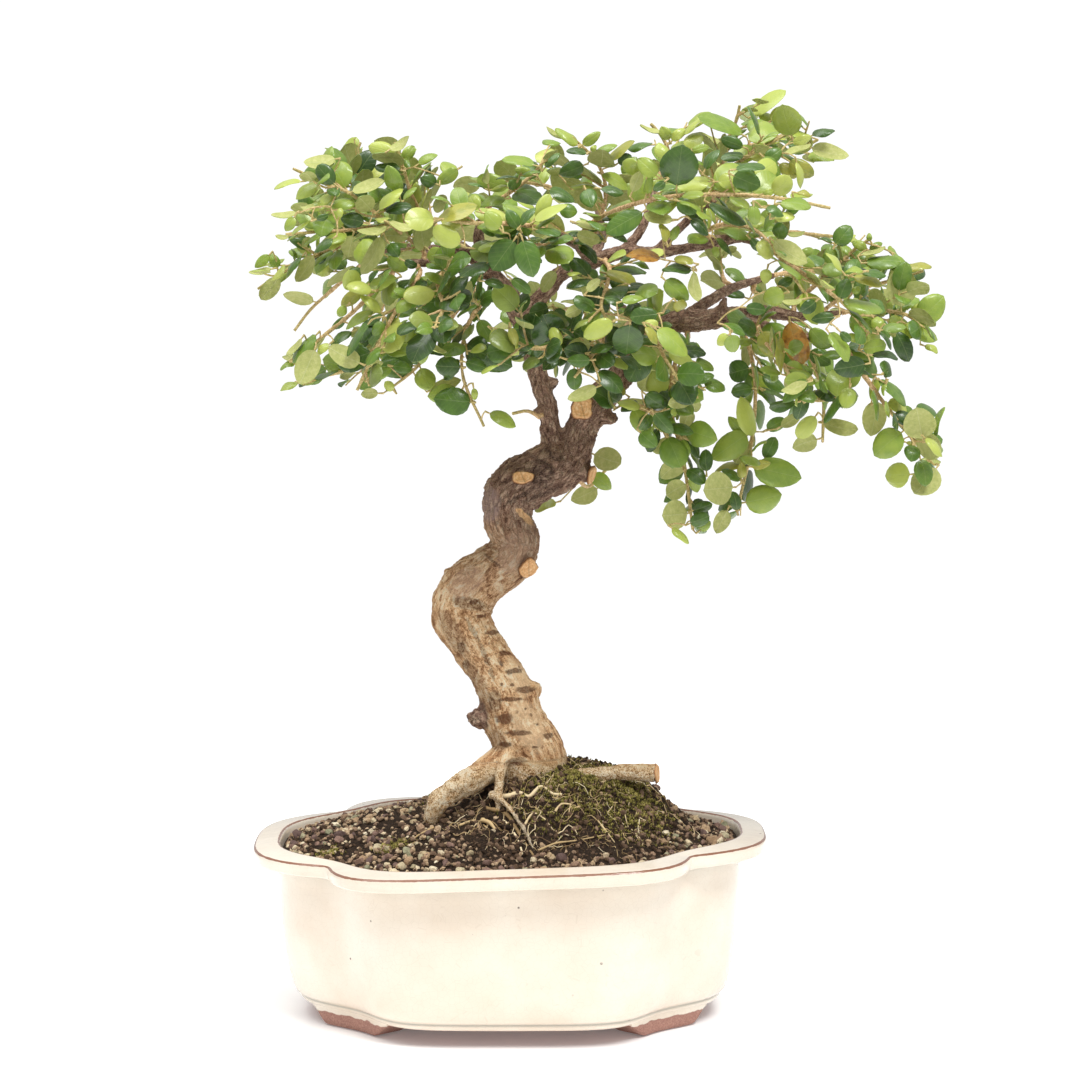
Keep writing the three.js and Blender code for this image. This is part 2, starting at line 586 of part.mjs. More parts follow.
function leafIsFree(leaf, spray) {
  for (const length of woodLengths) {
    if (lineMeetsLeaf(length.from, length.to, leaf, length.radius + LEAF_GAP)) {
      return false;
    }
  }
  for (const length of twigLengths) {
    if (length.spray !== spray && lineMeetsLeaf(length.from, length.to, leaf, TWIG_BASE_RADIUS + LEAF_GAP)) {
      return false;
    }
  }
  for (const other of placedLeaves) {
    if (other.middle.distanceTo(leaf.middle) > (other.length + leaf.length) / 2 + 2) {
      continue;
    }
    const gap = LEAF_GAP;
    if (leaf.edges.some(([a, b]) => lineMeetsLeaf(a, b, other, gap))) {
      return false;
    }
    if (other.edges.some(([a, b]) => lineMeetsLeaf(a, b, leaf, gap))) {
      return false;
    }
  }
  return true;
}

function placeLeaves(spray, places, count) {
  const leaves = [];
  for (let index = 0; index < count; index += 1) {
    const share = index === count - 1 ? 1 : 0.16 + 0.8 * index / (count - 1);
    const at = share * (places.length - 1);
    const lower = Math.min(Math.floor(at), places.length - 2);
    const foot = places[lower].clone().lerp(places[lower + 1], at - lower);
    const along = places[lower + 1].clone().sub(places[lower]).normalize();
    const outward = foot.clone().sub(CROWN_CENTRE).normalize();
    if (share === 1) {
      foot.addScaledVector(along, -TIP_LEAF_BACK);
    }
    for (let attempt = 0; attempt < LEAF_TRIES; attempt += 1) {
      const facing = new THREE.Vector3(between(-0.6, 0.6), between(-0.6, 0.6), between(-0.1, 0.7));
      facing.addScaledVector(outward, 1.1).normalize();
      const aside = facing.clone().cross(along).normalize().multiplyScalar(index % 2 ? 1 : -1);
      const spread = share === 1 ? between(-0.3, 0.3) : between(0.7, 1.5);
      const pointing = along.clone().addScaledVector(aside, spread);
      pointing.addScaledVector(facing, between(-0.15, 0.35)).normalize();
      facing.addScaledVector(pointing, -facing.dot(pointing)).normalize();
      const length = between(LEAF_LENGTH[0], LEAF_LENGTH[1]);
      const width = length * between(LEAF_BREADTH[0], LEAF_BREADTH[1]);
      const leaf = makeLeaf(foot, pointing, facing, length, width);
      if (leafIsFree(leaf, spray)) {
        leaves.push(leaf);
        placedLeaves.push(leaf);
        break;
      }
    }
  }
  return leaves;
}

// A thin blade arched along its length, with both faces split alike
function leafSolid(leaf) {
  const count = LEAF_SHAPE.length;
  const half = LEAF_THICKNESS / 2;
  const outline = LEAF_SHAPE.map((place) => leafPoint(leaf, place));
  const faceAt = (lift) => outline.map((point) => point.clone().addScaledVector(leaf.normal, lift));
  const points = [...faceAt(half), ...faceAt(-half)];
  const triangles = [];
  for (const [a, b, c] of LEAF_FACES) {
    triangles.push([a, b, c], [count + a, count + c, count + b]);
  }
  for (let i = 0; i < count; i += 1) {
    const next = (i + 1) % count;
    triangles.push([next, i, count + i], [next, count + i, count + next]);
  }
  return solidFrom(points, triangles);
}

// Moves a twig's first place along the twig, so that its flat end lies just clear of the wood's real surface
function seatTwig(places, wood) {
  const inward = places[0].clone().sub(places[1]).normalize();
  const [hit] = new THREE.Raycaster(places[1], inward).intersectObject(wood);
  if (!hit) {
    return places;
  }
  const square = Math.max(Math.abs(hit.face.normal.dot(inward)), STEEPEST_SEAT);
  const slope = TWIG_BASE_RADIUS / 2 * Math.sqrt(1 - square * square) / square;
  const seat = hit.point.clone().addScaledVector(inward, -CLEARANCE - slope);
  return [seat, ...places.slice(1)];
}

function makeSprays(wood) {
  const twigs = Object.entries(SPRAYS).map(([name, points]) => ({
    name,
    places: twigPlaces(points),
    leaves: points.length < 4 ? LEAVES_A_SPRAY - 2 : LEAVES_A_SPRAY - (name.startsWith('back') ? 1 : 0),
  }));
  for (const { name, places } of twigs) {
    for (let i = 0; i < places.length - 1; i += 1) {
      twigLengths.push({ spray: name, from: places[i], to: places[i + 1] });
    }
  }
  return twigs.map(({ name, places, leaves }) => {
    const taper = (TWIG_BASE_RADIUS - TWIG_TIP_RADIUS) / (places.length - 1);
    const radii = places.map((_, index) => TWIG_BASE_RADIUS - taper * index);
    let spray = limb(seatTwig(places, wood), radii, TWIG_SIDES);
    for (const leaf of placeLeaves(name, places, leaves)) {
      spray = spray.add(leafSolid(leaf));
    }
    return meshOf(spray, `spray_${name}`, finish('leaf'));
  });
}

const bonsai = new THREE.Group();
bonsai.add(meshOf(makePot(), 'pot', finish('glaze')));
bonsai.add(meshOf(makeDrainMesh(-1), 'drain_mesh_left', finish('mesh')));
bonsai.add(meshOf(makeDrainMesh(1), 'drain_mesh_right', finish('mesh')));
bonsai.add(meshOf(makeSoil(), 'soil', finish('soil')));
const trunk = meshOf(makeWood(), 'trunk', finish('bark'));
bonsai.add(trunk, ...makeSprays(trunk));

// The origin is moved to the middle of the whole outline, on the table
const outer = new THREE.Box3().setFromObject(bonsai);
bonsai.position.set(-(outer.min.x + outer.max.x) / 2, -(outer.min.y + outer.max.y) / 2, -outer.min.z);

export default bonsai;
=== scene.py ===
"""The looks of a wall cotoneaster bonsai in a glazed pot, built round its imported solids.

Points are in millimetres from a place in the middle of the pot, a little above the table, until a mesh is
made, which puts them in the row frame, in metres. A point of the plant is (x, z, depth), as it is seen
from the front on the trunk's upright plane, and it lies on that line of sight at its depth.
"""
import math

import bmesh
import bpy
import numpy as np
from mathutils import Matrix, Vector, noise
from mathutils.geometry import delaunay_2d_cdt
from mathutils.kdtree import KDTree


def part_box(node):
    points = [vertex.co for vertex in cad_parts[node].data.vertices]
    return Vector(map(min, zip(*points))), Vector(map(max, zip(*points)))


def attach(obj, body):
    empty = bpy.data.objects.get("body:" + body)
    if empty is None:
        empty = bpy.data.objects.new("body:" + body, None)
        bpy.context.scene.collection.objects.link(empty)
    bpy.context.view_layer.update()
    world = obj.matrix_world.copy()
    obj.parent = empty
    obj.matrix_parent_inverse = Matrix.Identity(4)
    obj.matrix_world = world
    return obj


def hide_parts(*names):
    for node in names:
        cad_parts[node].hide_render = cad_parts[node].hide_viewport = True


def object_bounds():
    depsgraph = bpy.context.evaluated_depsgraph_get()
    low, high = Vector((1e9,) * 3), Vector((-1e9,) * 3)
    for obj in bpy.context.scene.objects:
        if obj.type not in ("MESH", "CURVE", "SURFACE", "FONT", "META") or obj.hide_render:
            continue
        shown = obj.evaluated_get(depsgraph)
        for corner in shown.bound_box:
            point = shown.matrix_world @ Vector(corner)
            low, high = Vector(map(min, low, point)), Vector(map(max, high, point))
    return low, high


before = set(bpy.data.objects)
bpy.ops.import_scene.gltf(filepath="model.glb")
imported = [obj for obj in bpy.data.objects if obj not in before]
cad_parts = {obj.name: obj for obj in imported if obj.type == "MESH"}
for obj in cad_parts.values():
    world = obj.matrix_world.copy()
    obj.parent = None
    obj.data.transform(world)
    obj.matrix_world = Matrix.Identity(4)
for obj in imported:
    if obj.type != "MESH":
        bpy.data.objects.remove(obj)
CAD_LOW, CAD_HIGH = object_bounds()

MM = 0.001
TABLE_LEVEL = -5.5
POT_LOW, POT_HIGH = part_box("pot")
POT_MIDDLE = np.array([
    (POT_LOW.x + POT_HIGH.x) / 2, (POT_LOW.y + POT_HIGH.y) / 2, POT_LOW.z - TABLE_LEVEL * MM,
])
ROOM_LOW = (np.array(CAD_LOW) - POT_MIDDLE) / MM
ROOM_HIGH = (np.array(CAD_HIGH) - POT_MIDDLE) / MM

# The camera, where the photograph was taken from
EYE = np.array([11.65, -1150.0, 303.0])
CAMERA_DOWN = math.radians(6.11)
CAMERA_LENS = 99.3
CAMERA_SENSOR = 36.0

# Pot
POT_HALF_WIDTH = 100
POT_HALF_DEPTH = 78
RIM_LEVEL = 65
FRONT_LOBE = (70, POT_HALF_DEPTH, 5)
SIDE_LOBE = (POT_HALF_WIDTH, 56, 3)
NOTCH_ANGLE = 0.66
NOTCH_CROWDING = 1.6
NOTCH_BLEND = 2.5
NOTCH_FADE = 3
WIDEST_BLEND = 30
LIP_WIDTH = 10
RIM_WARP = 0.036
BASE_LEVEL = 1
FLOOR_LEVEL = 6.5
BASE_INSET = 19.5
FLOOR_INSET = 24
FOOT_FROM_X = 45.5
FOOT_TO_X = 75
FOOT_TOP = 8.5
FOOT_SLOPE = 0.14
DRAIN_HOLE_X = 34
DRAIN_HOLE_RADIUS = 8
DRAIN_HOLE_SIDES = 40
GLAZE_EDGE = 5.5
GLAZE_FADE = 0.2
GLAZE_RIPPLE = 0.16
RIPPLE_SCALE = 0.045

# Soil
SOIL_EDGE = 61.5
DOME_RISE = 13
MOUND_MIDDLE = (24, 4)
MOUND_SPREAD = (40, 34)
MOUND_RISE = 18
DARK_SOIL_MIDDLE = (18, -32)
DARK_SOIL_SPREAD = (38, 24)
GRAIN_REACH = 0.985
GRAIN_INWARD = 0.96
GRAIN_STRETCH = (0.5, 1.2)
GRAIN_DENT = 0.22
GRAIN_LIFT = (-0.1, 0.35)
GRAIN_RISE = 1.1
CLEARANCE = 0.35

# Wood, each with points of (x, z, depth, radius)
TRUNK = [
    (8, 70, 2, 15), (8, 88, 0, 14), (8, 96, -1, 13.4), (2, 108, -2, 12), (-1, 118, -2, 11.4),
    (-5, 127, -1, 10.4), (-10, 134, 0, 10), (-15, 142, 1, 10.3), (-19, 151, 2, 12), (-16, 160, 2, 12),
    (-8, 167, 1, 10.5), (0, 173, 0, 10), (2, 180, 0, 9.5), (-1, 189, -1, 9.6), (1, 198, -1, 11),
    (10, 205, 0, 10.5), (19, 209, 0, 10.5), (25, 215, 0, 7.4), (28, 224, 0, 6.5), (32, 231, 0, 6.8),
    (38, 238, 0, 5.8), (45, 247, 0, 5.2), (52, 257, 0, 5), (62, 264, 0, 4.6), (74, 265, 0, 4.3),
    (89, 267, 0, 3.4), (99, 268, 0, 2.8), (113, 266, 0, 2),
]
BRANCHES = {
    "left": [
        (18, 209, 0, 4.5), (16, 219, 0, 4), (15, 230, -1, 3.8), (12, 240, -1, 3.9), (9, 251, 0, 3.8),
        (5, 263, 0, 3.9), (1, 272, 0, 4.1), (-6, 282, 0, 3.5), (-16, 291, 2, 2.8), (-30, 299, 5, 2.2),
        (-44, 306, 8, 1.7), (-54, 312, 10, 1.2),
    ],
    "middle": [
        (4, 266, 0, 3), (14, 276, 0, 3.2), (20, 283, 0, 3.2), (31, 287, -1, 3), (43, 291, -3, 2.8),
        (56, 291, -2, 2.4), (70, 293, 0, 2), (89, 296, 2, 1.3),
    ],
    "middle_rise": [(43, 291, -3, 2.2), (50, 299, 2, 1.9), (54, 309, 6, 1.5), (57, 319, 10, 1.2)],
    "left_rise": [(-8, 285, 0, 2.4), (-12, 297, -2, 2.4), (-9, 306, -4, 1.8)],
    "left_front": [(-6, 282, 0, 2.4), (-19, 285, -14, 2.2), (-31, 287, -28, 1.8), (-41, 287, -38, 1.3)],
    "left_back": [(-16, 291, 2, 2.2), (-27, 292, 18, 2), (-41, 293, 35, 1.6), (-52, 290, 48, 1.2)],
    "centre_front": [(31, 287, 0, 2.4), (27, 293, -18, 2.1), (20, 297, -35, 1.7), (15, 299, -48, 1.2)],
    "centre_back": [(31, 287, 0, 2.4), (35, 296, 20, 2.1), (35, 303, 40, 1.7), (33, 309, 58, 1.2)],
    "right_front": [(66, 292, 0, 1.9), (78, 296, -20, 1.7), (90, 296, -35, 1.5), (100, 292, -48, 1.1)],
    "right_back": [(66, 265, 0, 2.8), (76, 272, 18, 2.4), (87, 278, 35, 1.9), (101, 282, 52, 1.3)],
    "right_rise": [
        (56, 291, -2, 2), (67, 302, 5, 1.8), (78, 311, 8, 1.6), (87, 321, 10, 1.4), (91, 330, 10, 1.1),
    ],
    "low_right": [(82, 266, 0, 2.6), (97, 263, -12, 2.2), (113, 259, -22, 1.7), (127, 255, -30, 1.2)],
    "low_back": [(53, 257, 0, 3.2), (50, 263, 22, 2.6), (45, 268, 42, 2), (41, 272, 62, 1.3)],
    "low_front": [(6, 261, 0, 2.6), (14, 262, -14, 2.2), (25, 261, -26, 1.7), (35, 258, -36, 1.2)],
    "far_right": [(111, 266, 0, 1.7), (119, 267, -2, 1.5), (128, 268, -4, 1.2)],
}
KNOBS = [
    [(30, 231, -1, 4.5), (28, 231, -6, 4.6), (28, 231, -9, 4.1)],
    [(22, 212, 0, 4), (27, 207, -2, 4), (31, 205.4, -3.6, 3.6)],
    [(-6, 111, -2, 5), (-13, 110, -5, 4), (-15, 110, -6, 2.6)],
    [(0, 122, -1, 4), (9, 121, -4, 3.6), (11, 121, -5, 2.8)],
    [(34, 229, 0, 3), (39, 227, -3, 2.8), (41, 227, -4, 2)],
    [(80, 267, 0, 2.6), (82, 271, -2, 1.8), (83, 274, -3, 1)],
]
ROOTS = {
    "thick_left": [
        (4, 98, -4, 7), (-8, 90, -10, 5.6), (-15, 85.5, -15, 5.4), (-22, 81.5, -18, 4.8),
        (-28, 77, -20, 4.2), (-31.5, 68, -20, 2.8),
    ],
    "front_down": [(1, 98, -10, 3.2), (-3, 91, -15, 2.2), (-4.5, 82, -20, 1.7), (-4.5, 72, -23, 1.5)],
    "front_left": [
        (-8, 80, -19, 1.5), (-3, 77, -24, 1.3), (2, 71, -32, 1.1), (6.5, 63.5, -42, 0.95),
        (9.5, 57, -50, 0.7),
    ],
    "cut_right": [(20, 86, -6, 3.6), (35, 87.5, -10, 3.2), (46, 88.5, -12, 3.3), (57, 88, -13, 3.9)],
    "right": [(16, 92, 2, 6), (30, 84, 8, 4.4), (42, 78, 14, 3), (54, 70, 18, 1.8)],
    "back_left": [(2, 92, 6, 6), (-8, 84, 18, 4.2), (-16, 77, 28, 3), (-24, 68, 36, 1.8)],
    "back_right": [(14, 92, 8, 6), (20, 84, 22, 4), (28, 76, 34, 2.8), (36, 66, 42, 1.8)],
}

# Leafy sprays, each a twig with points of (x, z, depth)
SPRAYS = {
    "left_tip": [(-44, 306, 8), (-58, 296, 2), (-77, 289, -4), (-97, 277, -8)],
    "left_mid": [(-41, 304, 7), (-57, 300, -10), (-72, 299, -16), (-86, 298, -20)],
    "left_upper": [(-50, 310, 9), (-64, 315, 0), (-74, 319, -8), (-83, 323, -12)],
    "left_top": [(-54, 312, 10), (-57, 319, 14), (-59, 326, 16), (-57, 333, 16)],
    "left_cut": [(-30, 299, 5), (-36, 309, -10), (-40, 321, -16), (-44, 333, -20)],
    "left_front_up": [(-33, 287, -30), (-47, 302, -44), (-60, 313, -48), (-70, 317, -50)],
    "left_front_down": [(-36, 287, -33), (-42, 272, -52), (-50, 257, -58), (-59, 238, -60)],
    "left_low_front": [(-41, 287, -38), (-54, 274, -40), (-68, 262, -40), (-85, 249, -38)],
    "left_low": [(-16, 290, 2), (-33, 268, -10), (-56, 249, -12), (-83, 241, -12)],
    "left_hang_short": [(-12, 283, -6), (-24, 265, -24), (-33, 250, -32), (-47, 238, -36)],
    "left_hang_long": [(-3, 277, -2), (-15, 266, -34), (-19, 248, -46), (-10, 224, -48)],
    "left_pad": [(-27, 286, -24), (-29, 279, -52), (-25, 271, -64), (-31, 261, -70)],
    "low_shoot": [(15, 229, -1), (8, 230, -8), (1, 229, -12)],
    "top_left": [(-9, 306, -4), (-1, 313, -8), (8, 320, -10), (14, 327, -10)],
    "top_mid": [(35, 303, 38), (37, 317, 26), (32, 327, 18), (24, 335, 14)],
    "top_right": [(57, 319, 10), (61, 327, 14), (59, 334, 14), (54, 340, 12)],
    "crest_front": [(78, 311, 8), (77, 317, -12), (90, 327, -20), (106, 336, -24)],
    "crest_stub": [(85, 318, 10), (82, 330, 18), (86, 339, 18), (88, 347, 16)],
    "crest_right": [(91, 330, 10), (106, 329, 2), (118, 334, -4)],
    "front_long": [(22, 296, -30), (43, 309, -56), (74, 313, -64), (101, 312, -64), (123, 308, -62)],
    "front_right": [(78, 296, -20), (91, 302, -44), (103, 290, -58), (113, 276, -64)],
    "front_centre": [(19, 297, -38), (10, 294, -54), (0, 292, -64), (-8, 287, -70)],
    "front_left": [(15, 299, -48), (4, 302, -66), (-12, 302, -74), (-29, 304, -78)],
    "centre_dark": [(23, 261, -24), (18, 256, -46), (10, 254, -58), (2, 257, -64)],
    "centre_low": [(35, 258, -36), (32, 252, -48), (25, 243, -54)],
    "centre_mid": [(37, 289, -2), (39, 282, -32), (35, 272, -50), (38, 264, -60)],
    "stem_right": [(50, 254, 0), (53, 262, -24), (59, 252, -38), (65, 242, -44)],
    "stem_low": [(37, 238, 0), (47, 233, -14), (56, 229, -20), (61, 220, -24)],
    "hang_inner": [(68, 264, 0), (61, 241, -8), (66, 218, -14), (71, 184, -16)],
    "hang_outer": [(89, 267, 0), (94, 249, -4), (94, 222, -8), (88, 191, -10)],
    "behind_stem": [(23, 209, 0), (29, 200, 20), (37, 207, 30)],
    "right_front": [(100, 292, -48), (115, 281, -58), (127, 273, -58), (137, 261, -54)],
    "right_fall": [(127, 255, -30), (142, 236, -30), (153, 223, -28), (164, 209, -24)],
    "right_end": [(128, 268, -4), (140, 269, -10), (150, 268, -14), (160, 264, -14)],
    "right_crown": [(109, 266, 0), (122, 282, 6), (131, 291, 6), (138, 296, 4)],
    "right_upper": [(121, 267, -3), (134, 277, 12), (147, 280, 14), (159, 284, 12)],
    "right_hang": [(115, 259, -23), (120, 243, -28), (121, 218, -28)],
    "right_low_front": [(97, 263, -12), (101, 254, -38), (108, 244, -48), (114, 233, -50)],
    "right_mid": [(89, 296, 2), (103, 299, -4), (115, 298, -8), (126, 297, -10)],
    "back_top_left": [(33, 309, 58), (19, 315, 72), (4, 318, 80), (-11, 317, 84)],
    "back_top_right": [(34, 306, 48), (50, 315, 74), (70, 319, 86), (87, 315, 92)],
    "back_left": [(-41, 293, 35), (-54, 301, 50), (-68, 306, 58), (-80, 309, 60)],
    "back_left_low": [(-52, 290, 48), (-63, 281, 58), (-75, 271, 62), (-83, 261, 62)],
    "back_left_up": [(-27, 292, 18), (-31, 305, 38), (-37, 317, 50), (-42, 325, 56)],
    "back_hang_left": [(-47, 292, 42), (-47, 276, 66), (-52, 261, 72), (-54, 246, 74)],
    "back_low": [(41, 272, 62), (30, 271, 78), (16, 268, 88), (2, 264, 92)],
    "back_hang": [(43, 270, 52), (52, 261, 74), (57, 247, 84), (60, 233, 86)],
    "back_right": [(101, 282, 52), (113, 284, 64), (127, 282, 70), (141, 275, 70)],
    "back_hang_right": [(94, 280, 44), (106, 268, 68), (113, 253, 76), (115, 237, 78)],
    "back_crest": [(86, 278, 34), (80, 292, 55), (79, 303, 66), (84, 314, 70)],
    "back_inner": [(47, 266, 32), (35, 260, 48), (23, 254, 52), (9, 252, 54)],
    "back_mid": [(35, 299, 30), (19, 297, 50), (5, 299, 60), (-10, 299, 64)],
}
FOLIAGE_PIECES = {
    "foliage_left": ("left_",),
    "foliage_top": ("top_", "crest_"),
    "foliage_front": ("front_", "centre_"),
    "foliage_stem": ("stem_", "low_shoot", "behind_stem", "hang_"),
    "foliage_right": ("right_",),
    "foliage_back": ("back_",),
}

# The leaves of the solids, drawn by the same rule and from the same row of numbers
SEED = 20117
CROWN_CENTRE = np.array([35.0, 0.0, 262.0])
LEAF_LENGTH = (11, 16)
LEAF_BREADTH = (0.68, 0.84)
LEAF_THICKNESS = 0.7
LEAF_ARCH = 1
LEAF_FOOT_OUT = 0.35
LEAF_GAP = 0.55
LEAF_TRIES = 14
LEAVES_A_SPRAY = 6
TIP_LEAF_BACK = 1.6
TWIG_BASE_RADIUS = 1.2
TWIG_STRAIGHT = 2
LEAF_SHAPE = [
    (0, 0, 0), (0.33, -0.5, 0.4), (0.7, -0.46, 0.3), (1, 0, -0.6), (0.7, 0.46, 0.3), (0.33, 0.5, 0.4),
]

# What only the scene adds to the foliage
FILL_GAP = 0.12
FILL_LENGTH = (9.5, 15.5)
FILL_BREADTH = (0.54, 0.82)
FILL_TRIES = 10
FILL_STEP = 3.2
FILL_FACING = ((-0.8, -0.8, 0.1), (0.8, 0.5, 1.3))
SHOOT_FILL_SHARES = (0.25, 0.45, 0.65, 0.85, 1.0)
SHOOT_FILL_LENGTH = (8, 13.5)
MIDDLE_SHARES = (0.2, 0.5, 0.75)
MIDDLE_FILL_LENGTH = (7, 12)
LEAF_MARGIN = 0.5
TWIGLET_SHARES = (0.24, 0.38, 0.52, 0.66, 0.8, 0.92)
TWIGLET_LENGTH = (9, 17)
TWIGLET_ASIDE = (0.7, 1.2)
TWIGLET_OUTWARD = (0.1, 0.6)
TWIGLET_RISE = (-0.15, 0.3)
TWIGLET_RADII = (0.5, 0.32)
TWIGLET_CLEARANCE = 0.6
TWIGLET_MARGIN = 6
JOINT_RADII = (0.36, 0.27)
FINE_TWIG_RADII = (1.15, 0.58)
FINE_TWIG_CLEARANCE = 0.8
PETIOLE = 1.7
PETIOLE_SHOWN = 0.9 * PETIOLE
PETIOLE_RADIUS = 0.34
BLADE_THICKNESS = 0.3


def unit(v):
    return v / math.sqrt(v @ v)


def cross(a, b):
    return np.array([a[1] * b[2] - a[2] * b[1], a[2] * b[0] - a[0] * b[2], a[0] * b[1] - a[1] * b[0]])


def smooth_share(value, low, high):
    """0 up to low and 1 from high, with a smooth step between."""
    share = np.clip((np.asarray(value, float) - low) / (high - low), 0, 1)
    return share * share * (3 - 2 * share)


def seen(point):
    """The place of a point (x, z, depth) that is seen at (x, z) on the trunk's plane."""
    reach = (point[2] - EYE[1]) / -EYE[1]
    return np.array([EYE[0] + (point[0] - EYE[0]) * reach, point[2], EYE[2] + (point[1] - EYE[2]) * reach])


def as_seen(places):
    """Where a place, or each row of places, is seen from the front, as x and z on the trunk's plane."""
    x, y, z = places.T
    reach = (y - EYE[1]) / -EYE[1]
    return EYE[0] + (x - EYE[0]) / reach, EYE[2] + (z - EYE[2]) / reach


def curve_points(places, count):
    """count + 1 points of a centripetal Catmull-Rom curve through the places. Columns past z ride along."""
    places = np.asarray(places, float)
    last = len(places) - 1
    padded = np.vstack([2 * places[0] - places[1], places, 2 * places[-1] - places[-2]])
    found = []
    for i in range(count + 1):
        at = last * (i / count)
        low = min(int(at), last - 1)
        share = at - low
        x = padded[low:low + 4]
        gap = np.sum(np.diff(x[:, :3], axis=0) ** 2, axis=1) ** 0.25
        leave = (x[1] - x[0]) / gap[0] - (x[2] - x[0]) / (gap[0] + gap[1]) + (x[2] - x[1]) / gap[1]
        arrive = (x[2] - x[1]) / gap[1] - (x[3] - x[1]) / (gap[1] + gap[2]) + (x[3] - x[2]) / gap[2]
        leave = leave * gap[1]
        arrive = arrive * gap[1]
        square = -3 * x[1] + 3 * x[2] - 2 * leave - arrive
        cube = 2 * x[1] - 2 * x[2] + leave + arrive
        found.append(x[1] + leave * share + square * share ** 2 + cube * share ** 3)
    return np.array(found)


def line_length(places):
    return float(np.sum(np.linalg.norm(np.diff(places[:, :3], axis=0), axis=1)))


def fine_line(places, step):
    """A smooth line through the places with a point about every step."""
    count = max(int(round(line_length(np.asarray(places, float)) / step)), len(places))
    return curve_points(places, count)


def rings_round(line, radii, sides):
    """Rings of points round a line, one a place, with the two directions that each ring lies in."""
    count = len(line)
    before = line[np.maximum(np.arange(count) - 1, 0)]
    after = line[np.minimum(np.arange(count) + 1, count - 1)]
    alongs = (after - before) / np.linalg.norm(after - before, axis=1)[:, None]
    side = cross(np.array([0.0, 1.0, 0.0]), alongs[0])
    if side @ side < 1e-6:
        side = np.array([1.0, 0.0, 0.0])
    turn = 2 * math.pi * np.arange(sides) / sides
    rings = []
    sideways = []
    for place, along, radius in zip(line, alongs, radii):
        side = unit(side - along * (side @ along))
        up = cross(along, side)
        out = np.cos(turn)[:, None] * side + np.sin(turn)[:, None] * up
        rings.append(place + radius * out)
        sideways.append((side, up))
    return np.array(rings), sideways


def put_in_scene(name, data):
    made = bpy.data.objects.new(name, data)
    bpy.context.scene.collection.objects.link(made)
    return made


def set_vectors(mesh, name, values):
    """Gives each of the mesh's points a vector that a material can read."""
    values = np.asarray(values, np.float32).ravel()
    mesh.attributes.new(name, "FLOAT_VECTOR", "POINT").data.foreach_set("vector", values)


class Patchwork:
    """Points and faces of one mesh, gathered piece by piece, with a value or vector for each point."""

    def __init__(self):
        self.points = []
        self.faces = []
        self.materials = []
        self.values = {}
        self.count = 0

    def add(self, points, faces, material=0, **values):
        points = np.asarray(points, float).reshape(-1, 3)
        self.points.append(points)
        self.faces.extend([[self.count + corner for corner in face] for face in faces])
        self.materials.extend([material] * len(faces))
        for name, value in values.items():
            value = np.asarray(value, float)
            if value.ndim < 2:
                value = np.broadcast_to(value, (len(points), 3))
            self.values.setdefault(name, []).append((self.count, value))
        self.count += len(points)

    def make(self, name, materials, sharp_above=None):
        """The object in the row frame, riding on the plant."""
        mesh = bpy.data.meshes.new(name)
        points = np.vstack(self.points)
        mesh.from_pydata((points * MM + POT_MIDDLE).tolist(), [], self.faces)
        for key, runs in self.values.items():
            filled = np.zeros((len(points), 3), np.float32)
            for start, value in runs:
                filled[start:start + len(value)] = value
            set_vectors(mesh, key, filled)
        for material in materials:
            mesh.materials.append(material)
        mesh.polygons.foreach_set("material_index", self.materials)
        mesh.polygons.foreach_set("use_smooth", [True] * len(mesh.polygons))
        if sharp_above is not None:
            mesh.set_sharp_from_angle(angle=math.radians(sharp_above))
        mesh.update()
        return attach(put_in_scene(name, mesh), "root")


def skin_faces(rings, sides, closed=True, capped=True):
    """Faces between rings of points that follow each other."""
    faces = []
    steps = sides if closed else sides - 1
    for ring in range(rings - 1):
        for i in range(steps):
            a = ring * sides + i
            b = ring * sides + (i + 1) % sides
            faces.append((a, b, b + sides, a + sides))
    if capped:
        faces.append(tuple(range(sides - 1, -1, -1)))
        faces.append(tuple(range((rings - 1) * sides, rings * sides)))
    return faces


# Materials

def colour(text):
    """A linear colour from one written as on a screen, such as #aabbcc."""
    parts = [int(text[i:i + 2], 16) / 255 for i in (1, 3, 5)]
    return [*(p / 12.92 if p <= 0.04045 else ((p + 0.055) / 1.055) ** 2.4 for p in parts), 1.0]


